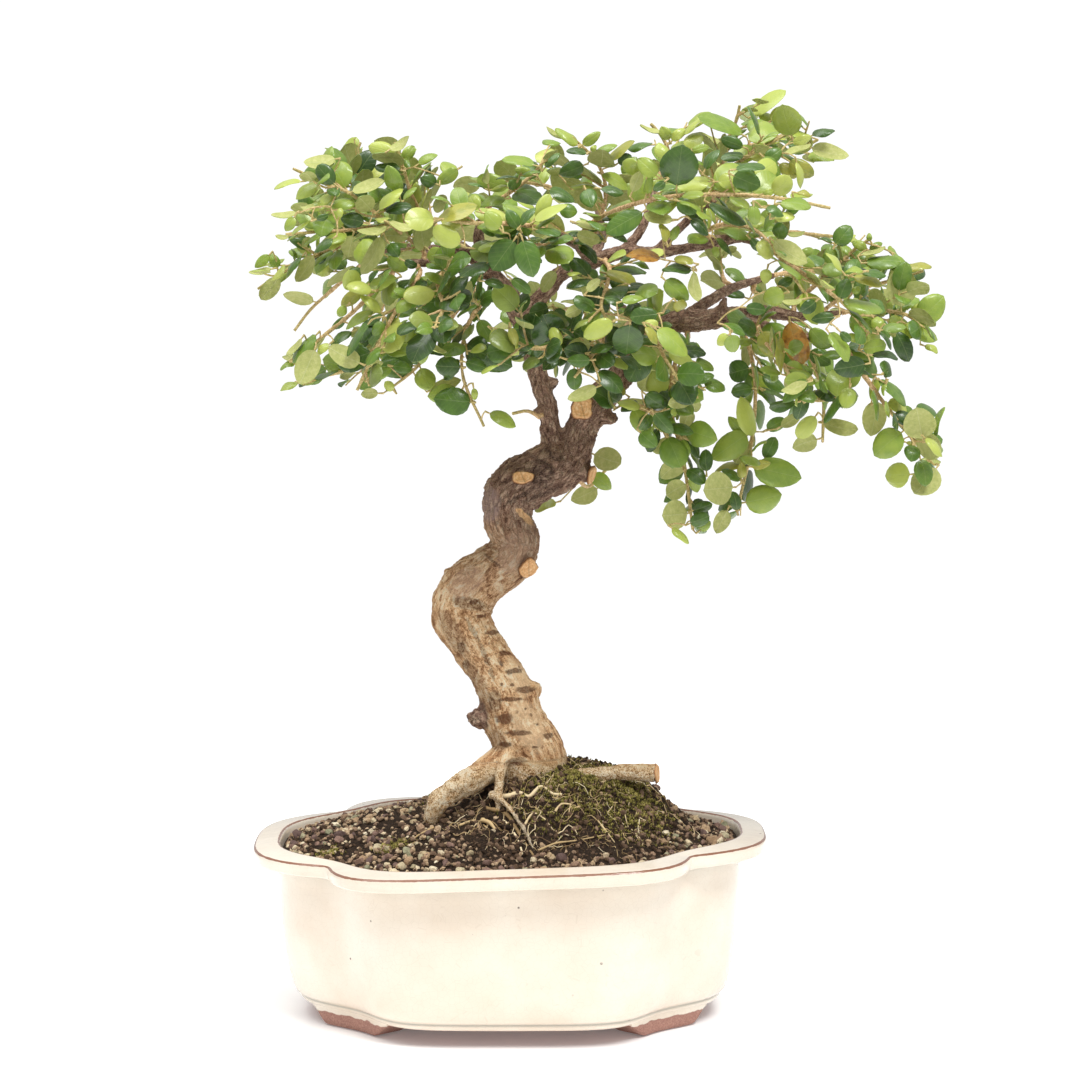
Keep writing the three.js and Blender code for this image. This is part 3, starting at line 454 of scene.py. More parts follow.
class Finish:
    """A material and short ways to add its nodes."""

    def __init__(self, name, roughness=0.5, **settings):
        self.material = bpy.data.materials.new(name)
        self.material.use_nodes = True
        self.tree = self.material.node_tree
        self.shader = self.tree.nodes["Principled BSDF"]
        self.shader.inputs["Roughness"].default_value = roughness
        for key, value in settings.items():
            self.shader.inputs[key.replace("_", " ")].default_value = value
        self.place = self.add("ShaderNodeTexCoord").outputs["Object"]

    def link(self, value, socket):
        if isinstance(value, bpy.types.NodeSocket):
            self.tree.links.new(value, socket)
        else:
            socket.default_value = value

    def add(self, kind, values=None, **settings):
        made = self.tree.nodes.new(kind)
        for key, value in settings.items():
            setattr(made, key, value)
        for key, value in (values or {}).items():
            self.link(value, made.inputs[key])
        return made

    def set(self, name, value):
        self.link(value, self.shader.inputs[name])

    def attribute(self, name):
        return self.add("ShaderNodeAttribute", attribute_name=name).outputs["Vector"]

    def parts(self, vector):
        return self.add("ShaderNodeSeparateXYZ", {"Vector": vector}).outputs

    def scaled(self, vector, scale):
        scale = (scale,) * 3 if isinstance(scale, (int, float)) else scale
        return self.add("ShaderNodeMapping", {"Vector": vector, "Scale": scale}).outputs["Vector"]

    def in_mm(self):
        """The place on the object in millimetres."""
        return self.scaled(self.place, 1 / MM)

    def noise(self, vector, scale, detail=3, roughness=0.55, distortion=0.0):
        values = {"Vector": vector, "Scale": scale, "Detail": detail, "Roughness": roughness}
        values["Distortion"] = distortion
        return self.add("ShaderNodeTexNoise", values).outputs["Fac"]

    def cells(self, vector, scale, feature="F1", output="Distance"):
        made = self.add("ShaderNodeTexVoronoi", {"Vector": vector, "Scale": scale}, feature=feature)
        return made.outputs[output]

    def math(self, operation, first, second=0.0):
        return self.add("ShaderNodeMath", {0: first, 1: second}, operation=operation).outputs[0]

    def plus(self, first, second):
        return self.math("ADD", first, second)

    def times(self, first, second):
        return self.math("MULTIPLY", first, second)

    def sum(self, *parts):
        """The sum of values times their weights, each given as (value, weight)."""
        total = 0.0
        for value, weight in parts:
            total = self.plus(self.times(value, weight), total)
        return total

    def shaken(self, vector, scale, strength):
        """The vector, moved about by noise."""
        values = {"Vector": vector, "Scale": scale, "Detail": 3}
        drift = self.add("ShaderNodeTexNoise", values).outputs["Color"]
        values = {0: drift, 1: (strength,) * 3, 2: vector}
        moved = self.add("ShaderNodeVectorMath", values, operation="MULTIPLY_ADD").outputs["Vector"]
        back = (-strength / 2,) * 3
        return self.add("ShaderNodeMapping", {"Vector": moved, "Location": back}).outputs["Vector"]

    def marks(self, place, ellipses):
        """How far a flat place lies in one of the ellipses: x, z, half length, half height, lean."""
        found = 0.0
        for x, z, long, high, lean in ellipses:
            values = {"Vector": place, "Location": (x, z, 0), "Scale": (long, high, 1000)}
            values["Rotation"] = (0, 0, math.radians(lean))
            near = self.add("ShaderNodeMapping", values, vector_type="TEXTURE").outputs["Vector"]
            off = self.add("ShaderNodeVectorMath", {0: near}, operation="LENGTH").outputs["Value"]
            found = self.math("MAXIMUM", self.step(off, 0.65, 1.1, 1, 0), found)
        return found

    def step(self, value, low, high, start=0.0, end=1.0):
        values = {"Value": value, "From Min": low, "From Max": high, "To Min": start, "To Max": end}
        made = self.add("ShaderNodeMapRange", values, interpolation_type="SMOOTHSTEP")
        return made.outputs["Result"]

    def mix(self, share, first, second, blend="MIX"):
        made = self.add("ShaderNodeMix", data_type="RGBA", blend_type=blend)
        self.link(share, made.inputs[0])
        self.link(first, made.inputs[6])
        self.link(second, made.inputs[7])
        return made.outputs[2]

    def ramp(self, value, stops):
        made = self.add("ShaderNodeValToRGB", {"Fac": value})
        while len(made.color_ramp.elements) < len(stops):
            made.color_ramp.elements.new(0.5)
        for element, (position, tint) in zip(made.color_ramp.elements, stops):
            element.position = position
            element.color = colour(tint)
        return made.outputs["Color"]

    def bump(self, height, strength, distance, below=None):
        values = {"Height": height, "Strength": strength, "Distance": distance * MM}
        if below is not None:
            values["Normal"] = below
        return self.add("ShaderNodeBump", values).outputs["Normal"]


def glaze_finish():
    made = Finish("cream_glaze", roughness=0.24, Coat_Weight=0.6, Coat_Roughness=0.07)
    place = made.in_mm()
    edge, bare, crease_shade = made.parts(made.attribute("pot_marks"))
    cloud = made.noise(place, 0.035, 3)
    cream = made.ramp(cloud, [(0.3, "#e6d6c2"), (0.52, "#ecdfcd"), (0.72, "#f1e7d7")])
    mottle = made.noise(place, 0.55, 4, 0.7)
    cream = made.mix(made.step(mottle, 0.56, 0.75, 0, 0.3), cream, colour("#ead8c2"))
    crackle = made.cells(place, 0.42, "DISTANCE_TO_EDGE")
    cream = made.mix(made.step(crackle, 0.0, 0.035, 0.16, 0.0), cream, colour("#b89f84"))
    specks = made.cells(place, 0.11)
    fleck = made.noise(place, 0.05, 1)
    speck = made.times(made.step(specks, 0.045, 0.08, 1, 0), made.step(fleck, 0.5, 0.56))
    cream = made.mix(speck, cream, colour("#5b4a3e"))
    # painted shade: grey in the creases under the lip and above the feet
    cream = made.mix(made.times(crease_shade, 0.75), cream, colour("#9a978b"))
    wander = made.noise(place, 0.35, 3)
    line = made.plus(edge, made.times(made.math("SUBTRACT", wander, 0.5), 0.9))
    worn = made.step(line, 0.42, 0.75)
    cream = made.mix(worn, cream, colour("#8a5c45"))
    clay_grain = made.noise(place, 1.4, 4, 0.7)
    clay = made.ramp(clay_grain, [(0.3, "#8f6558"), (0.55, "#ab8072"), (0.75, "#bf9888")])
    drips = made.noise(place, 0.11, 2)
    ragged = made.sum((bare, 1.0), (wander, 0.3), (drips, 0.5), (-0.4, 1.0))
    raw = made.step(ragged, 0.46, 0.54)
    made.set("Base Color", made.mix(raw, cream, clay))
    made.set("Roughness", made.step(raw, 0, 1, 0.24, 0.85))
    made.set("Coat Weight", made.step(raw, 0, 1, 0.6, 0.0))
    ripple = made.bump(made.noise(place, 0.13, 2), 0.25, 1.0)
    made.set("Normal", made.bump(mottle, 0.12, 0.25, ripple))
    return made.material


def mesh_finish():
    made = Finish("drain_mesh", roughness=0.55)
    place = made.in_mm()
    grain = made.noise(place, 1.5, 3)
    made.set("Base Color", made.ramp(grain, [(0.3, "#1e2021"), (0.7, "#34373a")]))
    made.set("Normal", made.bump(grain, 0.2, 0.2))
    return made.material


def soil_finish():
    made = Finish("soil_body", roughness=0.95, Specular_IOR_Level=0.2)
    place = made.in_mm()
    coarse = made.noise(place, 0.45, 5, 0.7)
    fine = made.noise(place, 1.9, 4, 0.7)
    dark = made.ramp(fine, [(0.3, "#1d1613"), (0.5, "#33281f"), (0.62, "#4b3a2b"), (0.78, "#6d5740")])
    made.set("Base Color", made.mix(made.step(coarse, 0.5, 0.72, 0, 0.5), dark, colour("#231a15")))
    made.set("Normal", made.bump(fine, 0.8, 0.9, made.bump(coarse, 0.7, 1.5)))
    return made.material


def grain_finish(name, tones, roughness=0.9):
    """Small stones or crumbs, each with its own tone from the ramp."""
    made = Finish(name, roughness=roughness, Specular_IOR_Level=0.25)
    place = made.in_mm()
    tone = made.parts(made.attribute("grain"))[0]
    grain = made.noise(place, 1.6, 4, 0.7)
    base = made.ramp(tone, tones)
    shade = made.ramp(grain, [(0.25, "#8b8580"), (0.6, "#ffffff")])
    made.set("Base Color", made.mix(0.75, base, shade, "MULTIPLY"))
    made.set("Normal", made.bump(grain, 0.6, 0.5))
    return made.material


def moss_finish():
    made = Finish("moss", roughness=0.9, Specular_IOR_Level=0.15)
    place = made.in_mm()
    tone = made.parts(made.attribute("grain"))[0]
    patch = made.noise(place, 0.12, 2)
    share = made.plus(made.times(tone, 0.5), made.times(patch, 0.5))
    made.set("Base Color", made.ramp(share, [(0.25, "#4a4420"), (0.5, "#787038"), (0.75, "#b0a45e")]))
    return made.material


def bark_finish():
    """Bark that goes from pale and smooth low on the trunk to dark and cracked higher up."""
    made = Finish("bark", roughness=0.85, Specular_IOR_Level=0.25)
    place = made.in_mm()
    bark = made.attribute("bark_place")
    dark, root, green = made.parts(made.attribute("bark_kind"))
    front = made.shaken(made.attribute("front_place"), 0.45, 2.4)
    fine = made.noise(place, 1.9, 5, 0.72)
    blotch = made.noise(made.scaled(bark, (0.34, 0.34, 0.24)), 1.0, 6, 0.72, 0.8)
    streaks = made.noise(made.scaled(bark, (0.9, 0.9, 0.3)), 1.0, 5, 0.7, 0.5)
    cloud = made.noise(place, 0.07, 3)
    mottle = made.sum((blotch, 0.5), (streaks, 0.22), (fine, 0.28))
    pale = made.ramp(mottle, [
        (0.4, "#7a5135"), (0.45, "#b4835a"), (0.49, "#e2b383"), (0.53, "#fcd9a9"), (0.58, "#fff0d2"),
    ])
    pale = made.mix(made.step(cloud, 0.54, 0.68, 0, 0.4), pale, colour("#ad855c"))
    brown = made.ramp(mottle, [
        (0.39, "#4f3a2e"), (0.45, "#876756"), (0.5, "#b4907b"), (0.55, "#cfae95"), (0.61, "#ecd0b2"),
    ])
    wood = made.mix(dark, pale, brown)
    flaky = made.ramp(made.sum((fine, 0.6), (blotch, 0.4)), [
        (0.41, "#74502f"), (0.46, "#b98d5c"), (0.5, "#edcd9d"), (0.57, "#fff2d8"),
    ])
    wood = made.mix(root, wood, flaky)
    plates = made.cells(made.shaken(made.scaled(bark, (0.5, 0.5, 0.24)), 1.6, 0.7), 1.0, "DISTANCE_TO_EDGE")
    crack = made.times(made.step(plates, 0.01, 0.09, 1, 0), made.step(blotch, 0.4, 0.56))
    smooth = made.math("SUBTRACT", 1.0, made.math("MAXIMUM", dark, root))
    cracked = made.times(crack, made.step(dark, 0.15, 0.8, 0.1, 0.6))
    wood = made.mix(cracked, wood, colour("#33271e"))
    dots = made.step(made.cells(made.scaled(bark, (0.21, 0.21, 0.6)), 1.0), 0.12, 0.24, 1, 0)
    dots = made.times(made.times(dots, smooth), made.step(cloud, 0.42, 0.56))
    shown = made.times(made.marks(front, LENTICELS), made.step(fine, 0.4, 0.54, 0.2, 1.0))
    lenticels = made.math("MAXIMUM", made.times(dots, 0.75), shown)
    # one of these patches is painted shade under the trunk's overlapping bend
    for tint, strength, ellipses in BARK_TONES_AND_SHADE:
        uneven = made.step(mottle, 0.4, 0.54, strength, 0.45 * strength)
        wood = made.mix(made.times(made.marks(front, ellipses), uneven), wood, colour(tint))
    wood = made.mix(made.times(lenticels, 0.8), wood, colour("#825338"))
    wood = made.mix(made.step(fine, 0.58, 0.72, 0, 0.35), wood, colour("#553d2b"))
    wood = made.mix(made.times(green, made.step(fine, 0.35, 0.6)), wood, colour("#85803c"))
    made.set("Base Color", wood)
    plated = made.bump(made.times(made.step(plates, 0, 0.22), dark), 0.9, 1.2)
    deep = made.bump(mottle, 0.9, 1.6, plated)
    raised = made.bump(lenticels, 0.5, 0.5, deep)
    made.set("Normal", made.bump(fine, 0.6, 0.55, raised))
    return made.material


def cut_finish():
    """Sawn wood with faint year rings and a dark rim."""
    made = Finish("sawn_wood", roughness=0.7)
    place = made.in_mm()
    reach, turn, tone = made.parts(made.attribute("cut_place"))
    grain = made.noise(place, 0.9, 4, 0.6)
    uneven = made.plus(reach, made.times(grain, 0.25))
    wave = made.math("SINE", made.times(uneven, 26.0))
    wood = made.ramp(grain, [(0.3, "#d39a5c"), (0.5, "#eab67e"), (0.7, "#f6d3a2")])
    wood = made.mix(made.step(wave, 0.2, 1.0, 0, 0.3), wood, colour("#a8703c"))
    crack = made.math("ABSOLUTE", made.math("SINE", made.math("SUBTRACT", turn, 1.8)))
    split = made.times(made.step(made.times(crack, reach), 0.02, 0.1, 1, 0), 0.35)
    wood = made.mix(split, wood, colour("#7a4f2c"))
    wood = made.mix(made.step(reach, 0.84, 1.0), wood, colour("#7c4b27"))
    wood = made.mix(made.times(tone, 0.5), wood, colour("#9a7350"))
    made.set("Base Color", wood)
    made.set("Normal", made.bump(grain, 0.4, 0.4))
    return made.material


def root_hair_finish():
    made = Finish("root_hair", roughness=0.8)
    tone = made.parts(made.attribute("grain"))[0]
    tones = [(0.1, "#4c3828"), (0.4, "#8d7048"), (0.7, "#cfb383"), (0.95, "#f6e4bd")]
    made.set("Base Color", made.ramp(tone, tones))
    return made.material


def twig_finish():
    made = Finish("twig_bark", roughness=0.7)
    place = made.in_mm()
    share = made.parts(made.attribute("twig_place"))[0]
    grain = made.noise(place, 1.1, 4, 0.65)
    old = made.ramp(grain, [(0.34, "#a8845c"), (0.5, "#d6b07f"), (0.64, "#f2d5a9")])
    young = made.ramp(grain, [(0.34, "#a79d58"), (0.5, "#c4b570"), (0.64, "#ddc58f")])
    made.set("Base Color", made.mix(made.step(share, 0.55, 1.0, 0, 0.8), old, young))
    made.set("Normal", made.bump(grain, 0.4, 0.25))
    return made.material


def leaf_lines(made):
    """The midrib and the side veins of a leaf, each as 0 to 1."""
    along, aside, _ = made.parts(made.attribute("leaf_place"))
    aside = made.math("ABSOLUTE", aside)
    ridge = made.step(aside, 0.04, 0.22, 1, 0)
    run = made.math("SUBTRACT", along, made.times(aside, 0.85))
    wave = made.math("SINE", made.times(run, 2 * math.pi / 2.05))
    vein = made.step(wave, 0.72, 1.0)
    return ridge, vein


def leaf_top_finish():
    made = Finish("leaf_top", roughness=0.34, Coat_Weight=0.3, Coat_Roughness=0.16)
    place = made.in_mm()
    tone, young, dying = made.parts(made.attribute("leaf_kind"))
    ridge, vein = leaf_lines(made)
    cloud = made.noise(place, 0.28, 3)
    shade = made.plus(tone, made.times(made.math("SUBTRACT", cloud, 0.5), 0.35))
    green = made.ramp(shade, [
        (0.0, "#33501c"), (0.25, "#567a28"), (0.5, "#86a23c"), (0.75, "#abbb4e"), (1.0, "#cbd26e"),
    ])
    green = made.mix(young, green, colour("#c8d466"))
    rot = made.ramp(cloud, [(0.35, "#8a5a20"), (0.5, "#c08a35"), (0.65, "#a8843c")])
    green = made.mix(dying, green, rot)
    green = made.mix(made.times(vein, 0.05), green, colour("#b3c27a"))
    green = made.mix(made.times(ridge, 0.16), green, colour("#bccb84"))
    made.set("Base Color", green)
    relief = made.plus(made.times(vein, -0.6), made.times(ridge, -1.0))
    quilt = made.bump(relief, 0.35, 0.22)
    made.set("Normal", made.bump(made.noise(place, 2.2, 3), 0.12, 0.15, quilt))
    return made.material


def leaf_under_finish():
    made = Finish("leaf_under", roughness=0.72, Specular_IOR_Level=0.3)
    place = made.in_mm()
    tone, young, dying = made.parts(made.attribute("leaf_kind"))
    ridge, vein = leaf_lines(made)
    net = made.cells(place, 1.3, "DISTANCE_TO_EDGE")
    felt = made.noise(place, 0.6, 4, 0.7)
    pale = made.ramp(felt, [(0.3, "#a9b066"), (0.5, "#babd74"), (0.7, "#cccb8a")])
    pale = made.mix(made.step(tone, 0.0, 1.0, 0.35, 0.0), pale, colour("#8d9c58"))
    pale = made.mix(made.times(young, 0.6), pale, colour("#bccb6c"))
    pale = made.mix(dying, pale, colour("#a97f3c"))
    pale = made.mix(made.step(net, 0.0, 0.12, 0.12, 0.0), pale, colour("#c6cc92"))
    pale = made.mix(made.times(vein, 0.12), pale, colour("#ccd196"))
    pale = made.mix(made.times(ridge, 0.4), pale, colour("#d6d9a6"))
    made.set("Base Color", pale)
    relief = made.plus(made.times(vein, 0.5), ridge)
    made.set("Normal", made.bump(relief, 0.4, 0.25))
    return made.material


# Pot

def lobe_reach(lobe, angle, inset):
    half_width, half_depth, power = lobe
    across = np.abs(np.cos(angle)) / (half_width - inset)
    deep = np.abs(np.sin(angle)) / (half_depth - inset)
    return (across ** power + deep ** power) ** (-1 / power)


def pot_reach(angle, inset):
    """How far the pot's plan reaches at an angle: two lobes whose notches fade with the inset."""
    front = lobe_reach(FRONT_LOBE, angle, inset)
    side = lobe_reach(SIDE_LOBE, angle, inset)
    width = min(NOTCH_BLEND + NOTCH_FADE * inset, WIDEST_BLEND)
    blend = np.maximum(width - np.abs(front - side), 0) / width
    return np.maximum(front, side) + blend * blend * width / 4


def pot_angles(steps):
    """Angles round the pot, closest together at its four notches."""
    share = np.arange(steps) / steps
    to_notch = NOTCH_ANGLE * (1 - (1 - share) ** NOTCH_CROWDING)
    from_notch = NOTCH_ANGLE + (math.pi / 2 - NOTCH_ANGLE) * share ** NOTCH_CROWDING
    quarter = np.concatenate([to_notch, from_notch])
    half = np.concatenate([quarter, [math.pi / 2], (math.pi - quarter)[::-1][:-1]])
    return np.concatenate([half, half + math.pi])


def warp_of(x, y, z):
    """How far the rim lies off level: low at the left front and high at the right front."""
    return RIM_WARP * x * (1 - y / POT_HALF_DEPTH) / 2 * np.clip(z / RIM_LEVEL, 0, 1)


def pot_ring(angles, inset, z):
    reach = pot_reach(angles, inset)
    x = reach * np.cos(angles)
    y = reach * np.sin(angles)
    return np.stack([x, y, z + warp_of(x, y, z)], axis=1)


# The pot's section, up the outside and down the inside: inset and height, then how much brown edge, bare
# clay and painted shade there is, where there is any; the painted shade is grey, in the crease under the
# lip and in the crease above the feet
POT_SECTION = [
    (19.5, 1.0, 0, 1, 0), (18.8, 1.25, 0, 0.3, 0), (18.3, 1.8), (17.8, 2.5), (17.6, 3.1, 0, 0, 0.3),
    (17.65, 3.5, 0, 0, 1), (17.5, 3.85, 0, 0, 1), (17.0, 4.2, 0, 0, 0.3), (16.3, 4.8), (15.6, 5.5),
    (14.7, 8.0), (13.7, 12.0), (12.8, 16.5), (12.0, 21.5), (11.3, 26.0), (10.8, 33.0), (10.3, 40.0),
    (9.8, 47.5), (9.4, 53.0), (9.1, 56.6, 0, 0, 0.2), (8.7, 57.9, 0, 0, 0.9), (7.8, 58.35, 0, 0, 1),
    (5.0, 58.42, 0, 0, 0.6), (2.4, 58.46, 0, 0, 0.2), (1.0, 58.6), (0.35, 59.0), (0.05, 59.7),
    (0.0, 61.0), (0.0, 62.4), (0.05, 63.0, 0.15, 0, 0), (0.25, 63.5, 1, 0, 0), (0.6, 63.85, 1, 0, 0),
    (1.1, 64.0, 0.15, 0, 0), (2.0, 64.12), (4.0, 64.38), (6.5, 64.7), (8.3, 64.93),
    (9.0, 64.98, 0.2, 0, 0), (9.5, 64.95, 0.9, 0, 0), (9.9, 64.75, 0.9, 0, 0), (10.25, 64.3, 0.2, 0, 0),
    (10.5, 63.5), (10.9, 61.7), (12.0, 55.8), (14.0, 45.2), (17.0, 29.3), (19.5, 16.0), (21.0, 11.0),
    (22.4, 7.8), (24.0, 6.5),
]
POT_STEPS = 34


def plate_with_holes(outline, height, up):
    """A flat sheet inside the outline, open at the drain holes: its points, faces, hole rings and edge."""
    sides = DRAIN_HOLE_SIDES
    points = [Vector(p[:2]) for p in outline]
    edges = [(i, (i + 1) % len(outline)) for i in range(len(outline))]
    holes = []
    for middle in (-DRAIN_HOLE_X, DRAIN_HOLE_X):
        ring = [len(points) + i for i in range(sides)]
        for i in range(sides):
            turn = 2 * math.pi * i / sides
            spot = (middle + DRAIN_HOLE_RADIUS * math.cos(turn), DRAIN_HOLE_RADIUS * math.sin(turn))
            points.append(Vector(spot))
        edges.extend((ring[i], ring[(i + 1) % sides]) for i in range(sides))
        holes.append(ring)
    flat, _, faces, origins, _, _ = delaunay_2d_cdt(points, edges, [], 1, 1e-6)
    index = {origin: new for new, olds in enumerate(origins) for origin in olds}
    kept = []
    for face in faces:
        middle = sum((flat[i] for i in face), Vector((0, 0))) / len(face)
        off = min((middle - Vector((x, 0))).length for x in (-DRAIN_HOLE_X, DRAIN_HOLE_X))
        if off > DRAIN_HOLE_RADIUS:
            a, b, c = (flat[i] for i in face[:3])
            turns_left = (b - a).cross(c - a) > 0
            kept.append(tuple(face) if turns_left == up else tuple(reversed(face)))
    places = [(p.x, p.y, height) for p in flat]
    hole_rings = [[index[i] for i in ring] for ring in holes]
    edge = [index[i] for i in range(len(outline))]
    return places, kept, hole_rings, edge


def pot_wobble(ring, angles, strength):
    """Small unevenness of a hand-dipped wall, outwards."""
    moved = ring.copy()
    for i, place in enumerate(ring):
        lift = noise.noise(Vector(place * RIPPLE_SCALE)) * GLAZE_RIPPLE * strength
        moved[i, 0] += lift * math.cos(angles[i])
        moved[i, 1] += lift * math.sin(angles[i])
    return moved


def make_pot():
    made = Patchwork()
    angles = pot_angles(POT_STEPS)
    sides = len(angles)
    rings = []
    for inset, z, *_ in POT_SECTION:
        outside = smooth_share(z, 3, 10) * (1 if inset < LIP_WIDTH else 0.5)
        rings.append(pot_wobble(pot_ring(angles, inset, z), angles, float(outside)))
    # brown edge, bare clay and painted crease shade for each ring of the section
    marks = np.repeat(np.array([row[2:] or (0, 0, 0) for row in POT_SECTION], float), sides, axis=0)
    made.add(np.vstack(rings), skin_faces(len(rings), sides, capped=False), pot_marks=marks)
    under = (BASE_LEVEL, rings[0], False, 0)
    floor = (FLOOR_LEVEL, rings[-1], True, (len(rings) - 1) * sides)
    hole_rings = []
    for height, ring, up, first in (under, floor):
        places, faces, holes, edge = plate_with_holes(ring.tolist(), height, up)
        start = made.count
        joined = {edge[i]: first + i - start for i in range(sides)}
        faces = [tuple(joined.get(i, i) for i in face) for face in faces]
        kept = np.array(places)
        made.add(kept, faces, pot_marks=np.tile([0.0, 1.0 if not up else 0.0, 0.0], (len(kept), 1)))
        hole_rings.append([[start + i for i in hole] for hole in holes])
    for low, high in zip(*hole_rings):
        count = len(low)
        for i in range(count):
            j = (i + 1) % count
            made.faces.append([low[j], low[i], high[i], high[j]])
            made.materials.append(0)
    for side_x in (-1, 1):
        for side_y in (-1, 1):
            add_foot(made, side_x, side_y)
    pot = made.make("pot_glazed", [glaze_finish()], sharp_above=70)
    drop_loose_points(pot)
    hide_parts("pot")


def drop_loose_points(made):
    """Removes the points that no face uses."""
    mesh = made.data
    used = np.zeros(len(mesh.vertices), bool)
    corners = np.zeros(len(mesh.loops), np.int32)
    mesh.loops.foreach_get("vertex_index", corners)
    used[corners] = True
    if used.all():
        return
    work = bmesh.new()
    work.from_mesh(mesh)
    work.verts.ensure_lookup_table()
    loose = [work.verts[int(i)] for i in np.flatnonzero(~used)]
    bmesh.ops.delete(work, geom=loose, context="VERTS")
    work.to_mesh(mesh)
    work.free()


def foot_angle(x):
    """The angle at which the base's outline lies this far to the side."""
    low, high = 0.1, math.pi / 2
    for _ in range(30):
        middle = (low + high) / 2
        if pot_reach(middle, BASE_INSET) * math.cos(middle) > x:
            low = middle
        else:
            high = middle
    return low


# A foot's section from outside to inside: inset and height above the table
FOOT_SECTION = [
    (18.1, FOOT_TOP), (18.4, 6.4), (18.45, 4.5), (18.55, 2.2), (19.0, 0.8), (19.7, 0.15), (20.7, 0.0),
    (25.5, 0.0), (29.3, 0.0), (30.1, 0.3), (30.5, 1.2), (30.5, FOOT_TOP),
]
FOOT_STEPS = 26


def add_foot(made, side_x, side_y):
    """A foot follows the pot's corner, and its ends slope up into the base."""
    start, end = foot_angle(FOOT_TO_X), foot_angle(FOOT_FROM_X)
    rings = []
    marks = []
    for step in range(FOOT_STEPS + 1):
        share = (1 - math.cos(math.pi * step / FOOT_STEPS)) / 2
        angle = start + (end - start) * share
        nearest_end = min(share, (1 - share) / 2)
        rise = (BASE_LEVEL - 0.9 - TABLE_LEVEL) * (1 - float(smooth_share(nearest_end, 0, FOOT_SLOPE)))
        ring = []
        for inset, z in FOOT_SECTION:
            reach = float(pot_reach(angle, inset))
            height = rise + z * (FOOT_TOP - rise) / FOOT_TOP
            x = side_x * reach * math.cos(angle)
            y = side_y * reach * math.sin(angle)
            ring.append((x, y, TABLE_LEVEL + height))
            bare = 0.5 + (GLAZE_EDGE - height) * GLAZE_FADE + (0.5 if inset > BASE_INSET else 0)
            marks.append((0, min(max(bare, 0), 1), 0))
        rings.append(ring)
    count = len(FOOT_SECTION)
    faces = skin_faces(len(rings), count)
    if side_x * side_y < 0:
        faces = [tuple(reversed(face)) for face in faces]
    made.add(np.array(rings).reshape(-1, 3), faces, pot_marks=np.array(marks))


# Soil

def off_mound(x, y):
    """How far a place lies from the mound's middle, squared: 1 where its sides are."""
    return ((x - MOUND_MIDDLE[0]) / MOUND_SPREAD[0]) ** 2 + ((y - MOUND_MIDDLE[1]) / MOUND_SPREAD[1]) ** 2


def soil_height(x, y, share):
    """The height of the soil at a place, share of the way out to the pot's wall."""
    dome = SOIL_EDGE + DOME_RISE * (1 - share * share)
    away = off_mound(x, y)
    mound = MOUND_RISE * np.exp(-away * away) * np.minimum(1, 3 * (1 - share))
    coarse = np.sin(x * 0.61 + y * 0.35) * np.sin(y * 0.72 - x * 0.21)
    grain = coarse + 0.5 * np.sin(x * 1.3 + 2) * np.sin(y * 1.1)
    return dome + mound + GRAIN_RISE * grain * np.minimum(1, 8 * (1 - share))


def soil_reach(angle):
    return pot_reach(angle, LIP_WIDTH + 1) - CLEARANCE


def soil_place(angle, share):
    """A point on the soil, warped like the rim towards the edge."""
    reach = soil_reach(angle) * share
    x = reach * np.cos(angle)
    y = reach * np.sin(angle)
    z = soil_height(x, y, share)
    return np.stack([x, y, z + warp_of(x, y, z) * smooth_share(share, 0.7, 1)], axis=-1)


SOIL_RINGS = 56
SOIL_STEPS = 30


def make_soil():
    made = Patchwork()
    angles = pot_angles(SOIL_STEPS)
    sides = len(angles)
    rings = [
        pot_ring(angles, FLOOR_INSET + 1.5, FLOOR_LEVEL + 1.9),
        pot_ring(angles, 20.2, 16.5),
        pot_ring(angles, LIP_WIDTH + 1.1, SOIL_EDGE - 1.5),
    ]
    for ring in range(SOIL_RINGS, 0, -1):
        share = ring / SOIL_RINGS
        top = soil_place(angles, share)
        for place in top:
            place[2] += 0.8 * noise.fractal(Vector(place * 0.35), 0.8, 2.1, 3) * (1 if share < 1 else 0)
        rings.append(top)
    made.add(np.vstack(rings), skin_faces(len(rings), sides), grain=0.5)
    soil = made.make("soil_body", [soil_finish()])
    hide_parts("soil")


def ball(detail):
    """The points and faces of a round stone, with 20 faces or 80."""
    work = bmesh.new()
    bmesh.ops.create_icosphere(work, subdivisions=detail, radius=1)
    points = np.array([v.co[:] for v in work.verts])
    faces = [tuple(v.index for v in f.verts) for f in work.faces]
    work.free()
    return points, faces


def turned(rng):
    """A turn about a random axis, as a matrix."""
    q = rng.normal(size=4)
    w, x, y, z = q / np.linalg.norm(q)
    return np.array([
        [1 - 2 * (y * y + z * z), 2 * (x * y - z * w), 2 * (x * z + y * w)],
        [2 * (x * y + z * w), 1 - 2 * (x * x + z * z), 2 * (y * z - x * w)],
        [2 * (x * z - y * w), 2 * (y * z + x * w), 1 - 2 * (x * x + y * y)],
    ])


def in_dark_soil(x, y):
    """How dark and fine the soil is: most so on the mound and in front of it."""
    away = off_mound(x, y)
    aside = (x - DARK_SOIL_MIDDLE[0]) / DARK_SOIL_SPREAD[0]
    forward = (y - DARK_SOIL_MIDDLE[1]) / DARK_SOIL_SPREAD[1]
    return max(math.exp(-away * away), math.exp(-aside ** 4 - forward ** 4))


